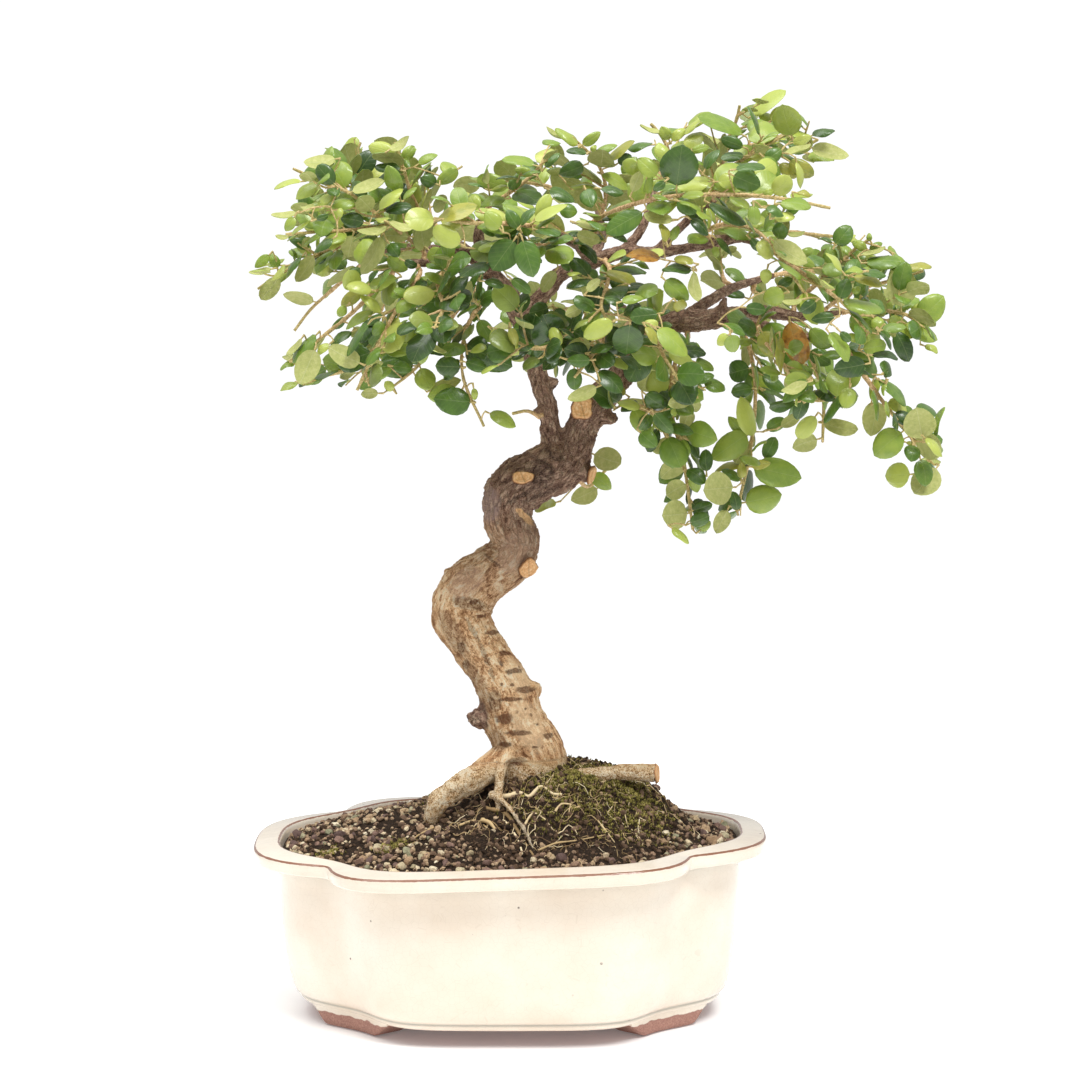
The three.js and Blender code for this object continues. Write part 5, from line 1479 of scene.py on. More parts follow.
# Leaves that the photograph shows, in its pixels: foot x and y, tip x and y, width, look. The looks are
# d dark, m middling, p pale underside, b bright and young, g grey and glossy, o olive, w withered.
PIXELS_A_MM = 2.575
PIXEL_MIDDLE = (510, 1001)
SEEN_LEAVES = {
    "left": [
        (349, 161, 358, 138, 15, "b"), (397, 155, 371, 146, 17, "b"), (392, 151, 412, 139, 9, "p"),
        (405, 160, 416, 147, 12, "m"), (360, 175, 376, 151, 21, "d"), (343, 162, 329, 148, 4, "m"),
        (338, 160, 307, 164, 13, "p"), (337, 184, 320, 166, 18, "d"), (365, 181, 341, 179, 11, "d"),
        (402, 171, 377, 167, 11, "d"), (403, 175, 379, 178, 10, "d"), (355, 192, 387, 182, 12, "p"),
        (381, 210, 403, 187, 10, "b"), (387, 211, 413, 204, 12, "d"), (304, 182, 277, 186, 6, "b"),
        (320, 184, 298, 198, 12, "m"), (358, 203, 330, 204, 12, "m"), (328, 207, 310, 207, 9, "m"),
        (318, 207, 303, 208, 6, "p"), (299, 213, 275, 218, 6, "p"), (297, 217, 289, 231, 11, "m"),
        (292, 235, 279, 238, 5, "p"), (319, 219, 331, 215, 7, "d"), (358, 232, 328, 219, 20, "d"),
        (366, 222, 343, 217, 16, "d"), (341, 217, 344, 208, 7, "b"), (355, 235, 350, 256, 20, "p"),
        (383, 236, 365, 274, 17, "p"), (313, 251, 300, 243, 12, "m"), (297, 259, 297, 248, 4, "m"),
        (335, 238, 316, 251, 8, "d"), (326, 250, 319, 263, 12, "d"), (316, 255, 299, 281, 15, "p"),
        (305, 255, 287, 275, 5, "g"), (280, 267, 274, 252, 11, "m"), (272, 254, 258, 267, 10, "m"),
        (274, 268, 252, 273, 6, "p"), (281, 276, 265, 299, 17, "p"), (356, 288, 350, 270, 20, "b"),
        (364, 289, 342, 303, 14, "o"), (371, 282, 378, 268, 5, "d"), (368, 252, 358, 253, 6, "b"),
        (410, 236, 386, 235, 13, "p"), (391, 243, 400, 255, 13, "d"), (389, 256, 408, 270, 16, "m"),
        (406, 260, 418, 266, 9, "d"), (389, 227, 360, 233, 8, "p"), (391, 222, 414, 230, 8, "p"),
        (398, 277, 364, 289, 14, "m"), (348, 305, 340, 313, 10, "m"), (347, 316, 334, 328, 9, "g"),
        (375, 309, 346, 325, 10, "m"), (382, 311, 364, 292, 10, "b"), (384, 313, 367, 323, 8, "d"),
        (384, 320, 375, 334, 12, "g"), (370, 322, 346, 352, 8, "g"), (353, 330, 330, 343, 9, "g"),
        (361, 361, 329, 347, 21, "p"), (331, 342, 318, 352, 8, "b"), (318, 333, 292, 359, 13, "g"),
        (303, 337, 290, 354, 6, "p"), (316, 348, 302, 382, 25, "p"), (296, 362, 281, 365, 6, "m"),
        (300, 381, 281, 387, 7, "b"), (399, 315, 385, 347, 10, "b"), (387, 350, 417, 345, 14, "m"),
        (408, 347, 420, 362, 14, "d"), (394, 364, 413, 367, 13, "g"), (372, 364, 384, 359, 8, "p"),
        (371, 377, 392, 366, 12, "g"), (379, 391, 362, 391, 11, "p"), (394, 388, 386, 380, 10, "b"),
        (466, 302, 420, 300, 24, "d"), (450, 314, 424, 338, 28, "d"), (452, 328, 441, 346, 10, "g"),
        (428, 342, 446, 352, 6, "p"), (425, 345, 421, 362, 12, "m"), (461, 365, 436, 364, 21, "d"),
        (432, 388, 462, 378, 14, "p"), (471, 400, 434, 398, 29, "d"), (474, 386, 476, 398, 7, "m"),
        (466, 346, 512, 366, 27, "d"), (466, 360, 488, 366, 14, "d"), (480, 318, 491, 341, 16, "g"),
        (492, 328, 518, 354, 20, "b"), (511, 326, 516, 344, 10, "o"), (490, 411, 517, 422, 14, "m"),
    ],
    "middle": [
        (420, 165, 437, 153, 9, "m"), (447, 175, 452, 162, 17, "m"), (459, 170, 438, 185, 14, "m"),
        (437, 184, 424, 178, 14, "d"), (534, 166, 503, 158, 10, "m"), (545, 168, 558, 153, 8, "d"),
        (533, 175, 515, 169, 10, "m"), (508, 188, 478, 177, 18, "m"), (510, 190, 520, 176, 12, "g"),
        (577, 146, 556, 129, 10, "m"), (562, 140, 545, 131, 4, "p"), (582, 146, 600, 134, 11, "m"),
        (586, 154, 566, 151, 8, "d"), (583, 166, 559, 175, 17, "d"), (590, 152, 596, 147, 6, "m"),
        (585, 190, 592, 206, 18, "d"), (549, 190, 575, 200, 12, "g"), (536, 217, 551, 195, 14, "b"),
        (535, 221, 566, 203, 10, "b"), (559, 210, 577, 211, 15, "g"), (519, 228, 507, 210, 14, "g"),
        (500, 228, 485, 212, 18, "m"), (506, 199, 480, 203, 10, "m"), (521, 225, 535, 207, 8, "d"),
        (440, 220, 478, 205, 15, "o"), (461, 243, 433, 229, 21, "b"), (455, 240, 431, 238, 10, "m"),
        (430, 249, 447, 262, 18, "m"), (514, 240, 494, 270, 30, "d"), (523, 240, 534, 276, 26, "d"),
        (458, 266, 508, 277, 10, "d"), (485, 280, 505, 283, 9, "d"), (555, 270, 541, 290, 14, "p"),
        (512, 278, 531, 291, 12, "g"), (450, 279, 489, 302, 12, "b"), (506, 241, 478, 247, 8, "m"),
        (600, 240, 576, 235, 14, "p"), (578, 243, 597, 258, 10, "d"), (575, 222, 600, 227, 8, "p"),
        (596, 154, 615, 144, 8, "m"), (608, 162, 632, 141, 9, "o"), (617, 164, 630, 156, 12, "d"),
        (636, 163, 622, 172, 18, "m"), (655, 176, 636, 160, 18, "m"), (631, 192, 640, 172, 13, "p"),
        (645, 194, 650, 172, 9, "m"), (601, 175, 628, 189, 12, "m"), (600, 189, 623, 193, 9, "d"),
        (641, 212, 606, 234, 22, "g"), (577, 223, 612, 228, 7, "p"), (576, 240, 611, 234, 16, "p"),
        (612, 236, 627, 239, 7, "d"), (580, 245, 598, 260, 10, "d"), (659, 258, 625, 252, 12, "w"),
        (550, 322, 513, 326, 24, "d"), (548, 306, 532, 312, 17, "d"), (553, 340, 521, 346, 21, "d"),
        (560, 344, 551, 326, 13, "b"), (555, 307, 570, 333, 18, "d"), (562, 334, 590, 324, 16, "d"),
        (600, 285, 593, 316, 29, "d"), (612, 320, 583, 335, 19, "b"), (581, 306, 565, 313, 12, "p"),
        (590, 341, 567, 348, 17, "p"), (590, 358, 567, 360, 14, "d"), (574, 366, 574, 388, 16, "d"),
        (596, 385, 568, 398, 14, "p"), (629, 323, 625, 354, 31, "d"), (645, 349, 629, 380, 28, "d"),
        (657, 312, 629, 316, 18, "d"), (657, 325, 645, 318, 9, "b"), (656, 328, 688, 352, 20, "m"),
        (668, 350, 693, 362, 14, "b"), (676, 372, 703, 371, 25, "g"), (663, 391, 650, 370, 25, "b"),
        (645, 348, 664, 357, 14, "p"), (645, 325, 657, 342, 9, "o"), (690, 269, 661, 266, 10, "d"),
        (692, 262, 673, 257, 9, "o"), (692, 271, 694, 300, 12, "p"), (664, 279, 687, 299, 19, "m"),
        (675, 300, 684, 310, 14, "o"), (614, 290, 628, 286, 10, "o"), (603, 297, 624, 302, 9, "d"),
        (629, 283, 650, 286, 6, "d"), (621, 300, 642, 294, 9, "m"), (605, 272, 636, 278, 12, "o"),
        (587, 290, 598, 277, 10, "p"), (590, 350, 612, 343, 9, "g"), (640, 405, 618, 398, 10, "b"),
        (594, 452, 620, 462, 25, "p"), (592, 472, 612, 486, 16, "m"), (597, 486, 572, 500, 20, "p"),
        (556, 500, 534, 506, 10, "b"), (625, 392, 615, 385, 9, "o"),
    ],
    "top": [
        (739, 136, 697, 115, 15, "m"), (682, 136, 700, 120, 6, "b"), (659, 134, 638, 128, 4, "p"),
        (667, 141, 660, 129, 12, "m"), (670, 142, 682, 129, 10, "b"), (662, 160, 658, 143, 15, "b"),
        (675, 186, 679, 148, 39, "d"), (707, 182, 675, 186, 16, "b"), (716, 182, 737, 180, 16, "b"),
        (663, 182, 652, 191, 9, "d"), (660, 192, 676, 186, 5, "g"), (703, 170, 714, 149, 10, "g"),
        (690, 152, 707, 148, 9, "m"), (717, 143, 694, 137, 8, "p"), (740, 148, 719, 139, 13, "d"),
        (741, 157, 718, 158, 10, "d"), (722, 172, 712, 178, 8, "b"), (702, 194, 680, 197, 8, "m"),
        (676, 200, 695, 212, 18, "d"), (679, 199, 655, 214, 10, "m"), (671, 219, 642, 216, 12, "p"),
        (707, 203, 745, 222, 12, "d"), (689, 219, 708, 233, 11, "d"), (670, 240, 676, 225, 9, "m"),
        (665, 241, 660, 223, 9, "o"), (716, 229, 737, 235, 5, "m"), (714, 238, 731, 254, 6, "d"),
        (712, 246, 716, 256, 8, "m"), (749, 117, 781, 92, 15, "b"), (788, 137, 778, 108, 29, "m"),
        (761, 145, 757, 121, 30, "m"), (808, 137, 830, 130, 8, "d"), (808, 149, 844, 158, 15, "p"),
        (789, 144, 808, 139, 10, "b"), (781, 154, 807, 147, 6, "p"), (763, 162, 778, 150, 15, "g"),
        (760, 158, 779, 177, 12, "g"), (757, 169, 775, 179, 8, "p"), (776, 165, 794, 178, 14, "o"),
        (786, 162, 810, 177, 17, "o"), (793, 163, 800, 188, 7, "b"), (772, 195, 785, 178, 20, "b"),
        (794, 193, 808, 195, 6, "o"), (777, 204, 808, 205, 13, "m"), (772, 218, 792, 216, 10, "b"),
        (731, 176, 757, 188, 22, "d"), (733, 170, 762, 166, 9, "d"), (760, 194, 770, 190, 6, "m"),
        (763, 208, 782, 213, 9, "g"), (765, 205, 748, 202, 9, "m"), (751, 206, 752, 225, 13, "m"),
        (772, 214, 760, 230, 8, "g"), (775, 238, 780, 224, 16, "g"), (785, 234, 802, 233, 5, "p"),
        (771, 240, 803, 264, 19, "p"), (748, 238, 761, 252, 10, "d"), (796, 254, 811, 249, 9, "m"),
    ],
    "right": [
        (833, 244, 847, 225, 19, "g"), (841, 242, 851, 233, 5, "b"), (829, 242, 816, 236, 3, "d"),
        (863, 249, 850, 240, 10, "m"), (866, 249, 879, 242, 8, "m"), (867, 240, 864, 233, 6, "m"),
        (850, 256, 838, 245, 8, "m"), (859, 254, 882, 247, 5, "p"), (863, 262, 897, 260, 15, "g"),
        (901, 268, 927, 262, 9, "o"), (898, 305, 898, 266, 32, "p"), (916, 318, 941, 295, 27, "m"),
        (903, 322, 935, 338, 16, "m"), (893, 330, 909, 359, 19, "d"), (922, 344, 936, 349, 7, "b"),
        (840, 300, 880, 309, 13, "m"), (837, 297, 845, 277, 16, "d"), (850, 292, 857, 285, 8, "m"),
        (851, 276, 879, 283, 11, "o"), (859, 272, 883, 274, 8, "d"), (839, 270, 824, 251, 6, "b"),
        (860, 270, 842, 270, 6, "m"), (797, 258, 812, 266, 10, "m"), (800, 298, 781, 303, 6, "p"),
        (813, 300, 800, 310, 14, "d"), (832, 315, 809, 317, 12, "d"), (808, 327, 827, 347, 18, "m"),
        (827, 331, 848, 358, 14, "m"), (838, 330, 848, 340, 9, "d"), (858, 318, 874, 328, 11, "g"),
        (875, 328, 874, 314, 13, "m"), (880, 328, 903, 323, 10, "m"), (885, 326, 893, 334, 7, "p"),
        (877, 330, 891, 346, 4, "d"), (861, 347, 884, 343, 16, "m"), (870, 353, 896, 354, 8, "d"),
        (844, 334, 862, 341, 9, "m"), (872, 296, 890, 308, 11, "m"), (788, 320, 798, 363, 26, "w"),
        (863, 362, 832, 368, 22, "d"), (808, 350, 829, 362, 16, "d"), (850, 371, 863, 366, 12, "d"),
        (838, 367, 836, 393, 26, "m"), (806, 377, 783, 378, 16, "m"), (806, 378, 780, 398, 14, "g"),
        (743, 281, 724, 267, 11, "g"), (743, 296, 720, 288, 10, "d"), (765, 268, 762, 281, 12, "b"),
        (776, 285, 790, 277, 10, "d"), (782, 292, 760, 298, 20, "m"), (744, 306, 764, 309, 13, "d"),
        (870, 398, 873, 375, 10, "m"), (877, 378, 906, 401, 11, "g"), (884, 376, 885, 369, 3, "d"),
        (884, 382, 880, 393, 4, "m"), (875, 399, 871, 434, 25, "p"), (900, 430, 872, 452, 29, "m"),
        (921, 436, 914, 402, 33, "p"), (934, 434, 939, 404, 6, "m"), (924, 436, 943, 452, 9, "b"),
        (909, 472, 884, 474, 26, "b"), (935, 466, 915, 493, 29, "p"), (905, 440, 914, 443, 5, "o"),
    ],
    "strands": [
        (721, 323, 744, 332, 9, "g"), (727, 333, 716, 343, 12, "b"), (729, 333, 733, 351, 17, "m"),
        (760, 330, 774, 356, 21, "o"), (778, 335, 781, 372, 8, "o"), (748, 366, 728, 372, 23, "d"),
        (751, 386, 730, 389, 16, "d"), (752, 434, 741, 394, 18, "b"), (742, 430, 727, 415, 12, "m"),
        (752, 375, 770, 392, 18, "m"), (761, 373, 786, 388, 13, "g"), (780, 372, 758, 366, 8, "m"),
        (806, 380, 780, 390, 11, "p"), (803, 389, 797, 418, 16, "d"), (794, 400, 768, 405, 12, "d"),
        (766, 427, 784, 416, 14, "g"), (780, 424, 800, 412, 12, "p"), (816, 396, 806, 392, 14, "m"),
        (844, 391, 820, 418, 9, "d"), (848, 386, 844, 404, 17, "m"), (822, 421, 856, 429, 16, "p"),
        (814, 414, 797, 436, 18, "b"), (816, 437, 791, 444, 19, "p"), (645, 392, 662, 405, 18, "d"),
        (650, 412, 640, 428, 14, "g"), (654, 411, 672, 432, 15, "g"), (640, 430, 655, 444, 18, "g"),
        (692, 396, 667, 401, 15, "p"), (675, 382, 692, 395, 10, "d"), (683, 425, 689, 408, 15, "p"),
        (677, 437, 652, 449, 16, "p"), (687, 428, 714, 436, 27, "m"), (687, 437, 700, 455, 10, "d"),
        (706, 469, 705, 447, 14, "d"), (746, 432, 712, 458, 27, "m"), (742, 462, 714, 465, 8, "o"),
        (740, 478, 722, 466, 10, "g"), (741, 476, 742, 460, 10, "o"), (684, 455, 660, 475, 21, "p"),
        (685, 482, 665, 492, 20, "p"), (687, 511, 660, 515, 30, "p"), (732, 485, 700, 487, 34, "p"),
        (692, 472, 698, 490, 13, "m"), (737, 508, 733, 489, 12, "d"), (745, 500, 782, 494, 29, "m"),
        (753, 465, 801, 476, 30, "m"), (751, 464, 770, 460, 10, "o"), (764, 456, 775, 435, 15, "g"),
        (693, 508, 712, 501, 12, "d"), (690, 521, 709, 513, 15, "g"), (727, 508, 716, 531, 17, "p"),
        (672, 526, 690, 540, 8, "b"), (700, 528, 711, 520, 9, "m"),
    ],
}

# The tone of each look from dark to light, how young it is and how withered
LOOKS = {
    "d": (0.14, 0.0, 0.0), "m": (0.6, 0.05, 0.0), "p": (0.8, 0.1, 0.0), "b": (0.78, 0.5, 0.0),
    "g": (0.3, 0.0, 0.0), "o": (0.62, 0.1, 0.3), "w": (0.6, 0.0, 1.0),
}

# The crown's outline in the photograph, in its pixels, and its dense middle
CROWN_OUTLINE = [
    (308, 168), (322, 152), (352, 138), (400, 140), (436, 150), (470, 172), (500, 160), (540, 154),
    (556, 138), (605, 140), (632, 144), (660, 132), (700, 114), (735, 112), (765, 95), (790, 112),
    (820, 132), (838, 155), (806, 182), (812, 204), (780, 226), (802, 244), (834, 230), (870, 232),
    (900, 256), (925, 263), (942, 298), (936, 340), (925, 360), (888, 370), (912, 400), (940, 405),
    (944, 455),
    (936, 488), (900, 480), (866, 450), (850, 410), (800, 402), (782, 450), (800, 476), (780, 510),
    (745, 512), (720, 530), (690, 538), (662, 518), (655, 470), (640, 450), (618, 415), (600, 398),
    (575, 392), (545, 375), (500, 368), (472, 405), (435, 408), (395, 393), (362, 390), (330, 378),
    (292, 386), (280, 350), (320, 332), (362, 322), (364, 290), (325, 288), (300, 300), (264, 298),
    (254, 268), (280, 252), (294, 226), (292, 206), (298, 188),
]
CROWN_MIDDLE = [(480, 190), (720, 190), (720, 330), (480, 340)]


def in_outline(place, outline):
    """Whether a place is seen inside the outline, which is in the photograph's pixels."""
    x, z = as_seen(place)
    x = x * PIXELS_A_MM + PIXEL_MIDDLE[0]
    y = PIXEL_MIDDLE[1] - z * PIXELS_A_MM
    inside = False
    for (x1, y1), (x2, y2) in zip(outline, outline[1:] + outline[:1]):
        if (y1 > y) != (y2 > y) and x < x1 + (x2 - x1) * (y - y1) / (y2 - y1):
            inside = not inside
    return inside


class Leaf:
    """A blade with its foot on a twig, and the slab round it that others keep clear of."""

    def __init__(self, twig_place, along, facing, length, width):
        self.twig_place = twig_place
        self.foot = twig_place + along * LEAF_FOOT_OUT
        self.along = along
        self.across = unit(cross(facing, along))
        self.normal = unit(cross(along, self.across))
        self.length = length
        self.width = width
        self.middle = self.foot + along * (length / 2)
        self.look = None
        self.shown = True
        corners = [self.at(*place) for place in LEAF_SHAPE]
        self.tip = corners[3]
        starts = [*corners[1:], corners[1], corners[2], corners[0] + (corners[3] - corners[0]) * 0.15]
        ends = [*corners[2:], corners[0], corners[5], corners[4], corners[3]]
        self.starts = np.array(starts)
        self.ends = np.array(ends)
        self.slab = np.concatenate([self.middle, self.along, self.across, self.normal, [length, width]])

    def at(self, length, width, arch):
        lift = self.normal * (LEAF_ARCH * arch)
        return self.foot + self.along * (self.length * length) + self.across * (self.width * width) + lift


def dots(first, second):
    return np.einsum("ij,ij->i", first, second)


def lines_meet_slabs(starts, ends, slabs, margin):
    """Whether each line comes within its margin of the elliptic slab round its leaf."""
    start = starts - slabs[:, 0:3]
    step = ends - starts
    along, across, normal = slabs[:, 3:6], slabs[:, 6:9], slabs[:, 9:12]
    rise = dots(start, normal)
    climb = dots(step, normal)
    limit = LEAF_ARCH / 2 + LEAF_THICKNESS / 2 + margin
    flat = np.abs(climb) < 1e-6
    safe = np.where(flat, 1.0, climb)
    one = (-limit - rise) / safe
    two = (limit - rise) / safe
    low = np.where(flat, 0.0, np.maximum(0.0, np.minimum(one, two)))
    high = np.where(flat, 1.0, np.minimum(1.0, np.maximum(one, two)))
    apart = np.where(flat, np.abs(rise) > limit, low > high)
    half_length = slabs[:, 12] / 2 + margin
    half_width = slabs[:, 13] / 2 + margin
    u = dots(start, along) / half_length
    v = dots(start, across) / half_width
    du = dots(step, along) / half_length
    dv = dots(step, across) / half_width
    square = du * du + dv * dv
    best = -(u * du + v * dv) / np.where(square > 0, square, 1.0)
    nearest = np.where(square > 0, np.minimum(np.maximum(best, low), high), low)
    return ~apart & ((u + du * nearest) ** 2 + (v + dv * nearest) ** 2 < 1)


MOST_LEAVES = 3000
LEAF_LINES = 8


class Crown:
    """The wood, the twigs and the leaves placed so far."""

    def __init__(self):
        ends = []
        for points in [TRUNK, *BRANCHES.values()]:
            places = [seen(point) for point in points]
            for i in range(len(places) - 1):
                radius = max(points[i][3], points[i + 1][3])
                ends.append((*places[i], *places[i + 1], radius, i == len(places) - 2))
        ends = np.array(ends, float)
        self.wood_from, self.wood_to = ends[:, 0:3], ends[:, 3:6]
        self.wood_radius = ends[:, 6]
        self.wood_last = ends[:, 7] > 0
        self.twigs = []
        self.leaves = []
        self.starts = np.zeros((MOST_LEAVES, LEAF_LINES, 3))
        self.ends = np.zeros((MOST_LEAVES, LEAF_LINES, 3))
        self.slabs = np.zeros((MOST_LEAVES, 14))

    def twig_places(self, points):
        """A twig's places, from just clear of the wood that carries it, and its foot inside the wood."""
        places = [seen(point) for point in points]
        step = self.wood_to - self.wood_from
        shares = np.clip(dots(places[0] - self.wood_from, step) / dots(step, step), 0, 1)
        feet = self.wood_from + step * shares[:, None]
        off = np.linalg.norm(feet - places[0], axis=1) - self.wood_radius
        best = int(np.argmin(off))
        along = unit(step[best])
        at_tip = self.wood_last[best] and shares[best] > 0.98
        out = places[1] - feet[best]
        away = along if at_tip else unit(out - along * (out @ along))
        reach = CLEARANCE if at_tip else self.wood_radius[best] + CLEARANCE
        start = feet[best] + away * reach
        straight = start + away * TWIG_STRAIGHT
        return curve_points([start, straight, *places[1:]], len(places) + 1), feet[best]

    def settle_twigs(self, radius):
        """Gathers the lines that leaves keep clear of: the wood, and all twigs as thick as radius."""
        names = [""] * len(self.wood_from)
        starts = [self.wood_from]
        ends = [self.wood_to]
        for name, places in self.twigs:
            names += [name] * (len(places) - 1)
            starts.append(places[:-1])
            ends.append(places[1:])
        self.line_names = np.array(names)
        self.line_from = np.vstack(starts)
        self.line_to = np.vstack(ends)
        twig_count = len(names) - len(self.wood_from)
        self.line_radius = np.concatenate([self.wood_radius, np.full(twig_count, radius)])
        self.line_middle = (self.line_from + self.line_to) / 2
        self.line_reach = np.linalg.norm(self.line_to - self.line_from, axis=1) / 2 + self.line_radius + 4

    def is_free(self, leaf, spray, gap):
        slab = leaf.slab[None, :]
        off = np.linalg.norm(self.line_middle - leaf.middle, axis=1)
        near = np.flatnonzero((off < self.line_reach + leaf.length) & (self.line_names != spray))
        margin = self.line_radius[near] + gap
        if lines_meet_slabs(self.line_from[near], self.line_to[near], slab, margin).any():
            return False
        count = len(self.leaves)
        apart = np.linalg.norm(self.slabs[:count, 0:3] - leaf.middle, axis=1)
        near = np.flatnonzero(apart <= (self.slabs[:count, 12] + leaf.length) / 2 + 2)
        if not len(near):
            return True
        slabs = np.repeat(self.slabs[near], LEAF_LINES, axis=0)
        starts = np.tile(leaf.starts, (len(near), 1))
        ends = np.tile(leaf.ends, (len(near), 1))
        if lines_meet_slabs(starts, ends, slabs, gap).any():
            return False
        starts = self.starts[near].reshape(-1, 3)
        ends = self.ends[near].reshape(-1, 3)
        return not lines_meet_slabs(starts, ends, slab, gap).any()

    def keep(self, leaf, spray, share):
        leaf.spray = spray
        leaf.share = share
        count = len(self.leaves)
        self.starts[count] = leaf.starts
        self.ends[count] = leaf.ends
        self.slabs[count] = leaf.slab
        self.leaves.append(leaf)


def along_twig(places, share):
    """The place at a share of a twig's length, the way it runs there, and the way out of the crown."""
    at = share * (len(places) - 1)
    lower = min(int(at), len(places) - 2)
    place = places[lower] + (places[lower + 1] - places[lower]) * (at - lower)
    return place, unit(places[lower + 1] - places[lower]), unit(place - CROWN_CENTRE)


def place_solid_leaves(crown, spray, places, count, draw):
    """The leaves that the solids have, at the same places."""
    for index in range(count):
        last = index == count - 1
        share = 1 if last else 0.16 + 0.8 * index / (count - 1)
        foot, along, outward = along_twig(places, share)
        if last:
            foot = foot - along * TIP_LEAF_BACK
        for _ in range(LEAF_TRIES):
            facing = np.array([draw.between(-0.6, 0.6), draw.between(-0.6, 0.6), draw.between(-0.1, 0.7)])
            facing = unit(facing + outward * 1.1)
            aside = unit(cross(facing, along)) * (1 if index % 2 else -1)
            spread = draw.between(-0.3, 0.3) if last else draw.between(0.7, 1.5)
            pointing = unit(along + aside * spread + facing * draw.between(-0.15, 0.35))
            facing = unit(facing - pointing * (facing @ pointing))
            length = draw.between(*LEAF_LENGTH)
            width = length * draw.between(*LEAF_BREADTH)
            leaf = Leaf(foot, pointing, facing, length, width)
            if crown.is_free(leaf, spray, LEAF_GAP):
                crown.keep(leaf, spray, share)
                break


def in_room(places, margin):
    """Whether places stay inside the box round the solids, by a margin."""
    return bool((places > ROOM_LOW + margin).all() and (places < ROOM_HIGH - margin).all())


def fits_outline(leaf):
    """Whether a leaf is seen inside the photographed crown."""
    return in_outline(leaf.middle, CROWN_OUTLINE) and in_outline(leaf.tip, CROWN_OUTLINE)


SEEN_GAP = 0.05
SEEN_DEPTHS = (-2, -5, 1, -8, 4, -11, 7, -14, 10, -18, 14, -22, 18)
FRONT_PULL = 0.09
SHORTEST_JOINT = 0.6
LONG_JOINT = 4

# From these shares of width to length a blade is taken to lean to the eye or to turn its edge to it, and
# these are the shares that it really has
SEEN_SHORT = 0.85
BROAD_BLADE = 0.8
SEEN_THIN = 0.5
NARROW_BLADE = 0.66


def plane_place(x, y):
    """The place on the trunk's plane of one of the photograph's pixels."""
    return (x - PIXEL_MIDDLE[0]) / PIXELS_A_MM, (PIXEL_MIDDLE[1] - y) / PIXELS_A_MM


class Carriers:
    """Points along the twigs that a leaf can be joined to."""

    def __init__(self, paths):
        self.places = []
        self.names = []
        for name, places in paths.items():
            self.add(name, fine_line(places, 2.0))

    def add(self, name, line):
        self.places.extend(line)
        self.names.extend([name] * len(line))

    def nearest(self, x, z):
        """The carrier seen closest to (x, z), with a lean to those at the front."""
        places = np.array(self.places)
        seen_x, seen_z = as_seen(places)
        cost = np.hypot(seen_x - x, seen_z - z) + FRONT_PULL * (places[:, 1] - ROOM_LOW[1])
        best = int(np.argmin(cost))
        return places[best], self.names[best]


def seen_leaf(foot, tip, wide, depth, look, rng):
    """A leaf whose blade is seen from foot to tip, as wide as wide, both in mm on the trunk's plane."""
    start = seen((*foot, depth))
    flat = seen((*tip, depth)) - start
    long = math.sqrt(flat @ flat)
    width = wide * (depth - EYE[1]) / -EYE[1]
    view = unit(start - EYE)
    lean = 0.0
    roll = rng.uniform(-0.25, 0.25)
    length = long
    if width > SEEN_SHORT * long:
        length = min(width / BROAD_BLADE, LEAF_LENGTH[1])
        lean = math.sqrt(max(length * length - long * long, 0)) * (-1 if rng.uniform() < 0.6 else 1)
    elif width < SEEN_THIN * long:
        real = NARROW_BLADE * long
        roll = math.acos(min(max(width / real, 0.15), 1))
        width = real
    along = unit(flat + view * lean)
    side = unit(cross(along, view))
    toward = unit(cross(side, along))
    toward = toward if toward @ view < 0 else -toward
    rise = side if side[2] > 0 else -side
    facing = toward * math.cos(roll) + rise * math.sin(roll)
    if look == "p":
        facing = -facing
    blade_start = LEAF_FOOT_OUT + PETIOLE_SHOWN
    leaf = Leaf(start - along * blade_start, along, facing, length + PETIOLE_SHOWN, width)
    leaf.look = look
    return leaf


def place_seen_leaves(crown, carriers, rng):
    """The leaves that the photograph shows. Returns the short shoots that join them to the twigs."""
    joints = []
    for marks in SEEN_LEAVES.values():
        for foot_x, foot_y, tip_x, tip_y, wide, look in marks:
            foot = plane_place(foot_x, foot_y)
            tip = plane_place(tip_x, tip_y)
            place, spray = carriers.nearest(*foot)
            for offset in SEEN_DEPTHS:
                leaf = seen_leaf(foot, tip, wide / PIXELS_A_MM, place[1] + offset, look, rng)
                if in_room(leaf.starts, LEAF_MARGIN) and crown.is_free(leaf, spray, SEEN_GAP):
                    break
            else:
                continue
            crown.keep(leaf, spray, 0.8)
            gap = leaf.twig_place - place
            away = math.sqrt(gap @ gap)
            if away > SHORTEST_JOINT:
                bow = place + gap * 0.5 + np.array([0, 0, 0.05 * away]) - leaf.along * (0.05 * away)
                line = curve_points([place, bow, leaf.twig_place], max(3, int(away / 2)))
                joints.append((spray, line))
                if away > LONG_JOINT:
                    carriers.add(spray, line[1:])
    return joints


def fill_leaf(crown, rng, spray, places, share, sign, lengths):
    """Tries to place one more leaf on a twig."""
    foot, along, outward = along_twig(places, share)
    tip = share > 0.97
    for _ in range(FILL_TRIES):
        facing = rng.uniform(*FILL_FACING) + outward * 0.55
        if foot[1] < 30:
            facing = facing + np.array([0.0, -0.3, 0.1])
        facing = unit(facing)
        aside = cross(facing, along)
        if aside @ aside < 1e-3:
            continue
        spread = rng.uniform(-0.3, 0.3) if tip else rng.uniform(0.6, 1.7)
        pointing = unit(along + unit(aside) * sign * spread + facing * rng.uniform(-0.25, 0.35))
        facing = unit(facing - pointing * (facing @ pointing))
        length = rng.uniform(*lengths)
        leaf = Leaf(foot, pointing, facing, length, length * rng.uniform(*FILL_BREADTH))
        fits = in_room(leaf.starts, LEAF_MARGIN) and fits_outline(leaf)
        if fits and crown.is_free(leaf, spray, FILL_GAP):
            crown.keep(leaf, spray, share)
            return


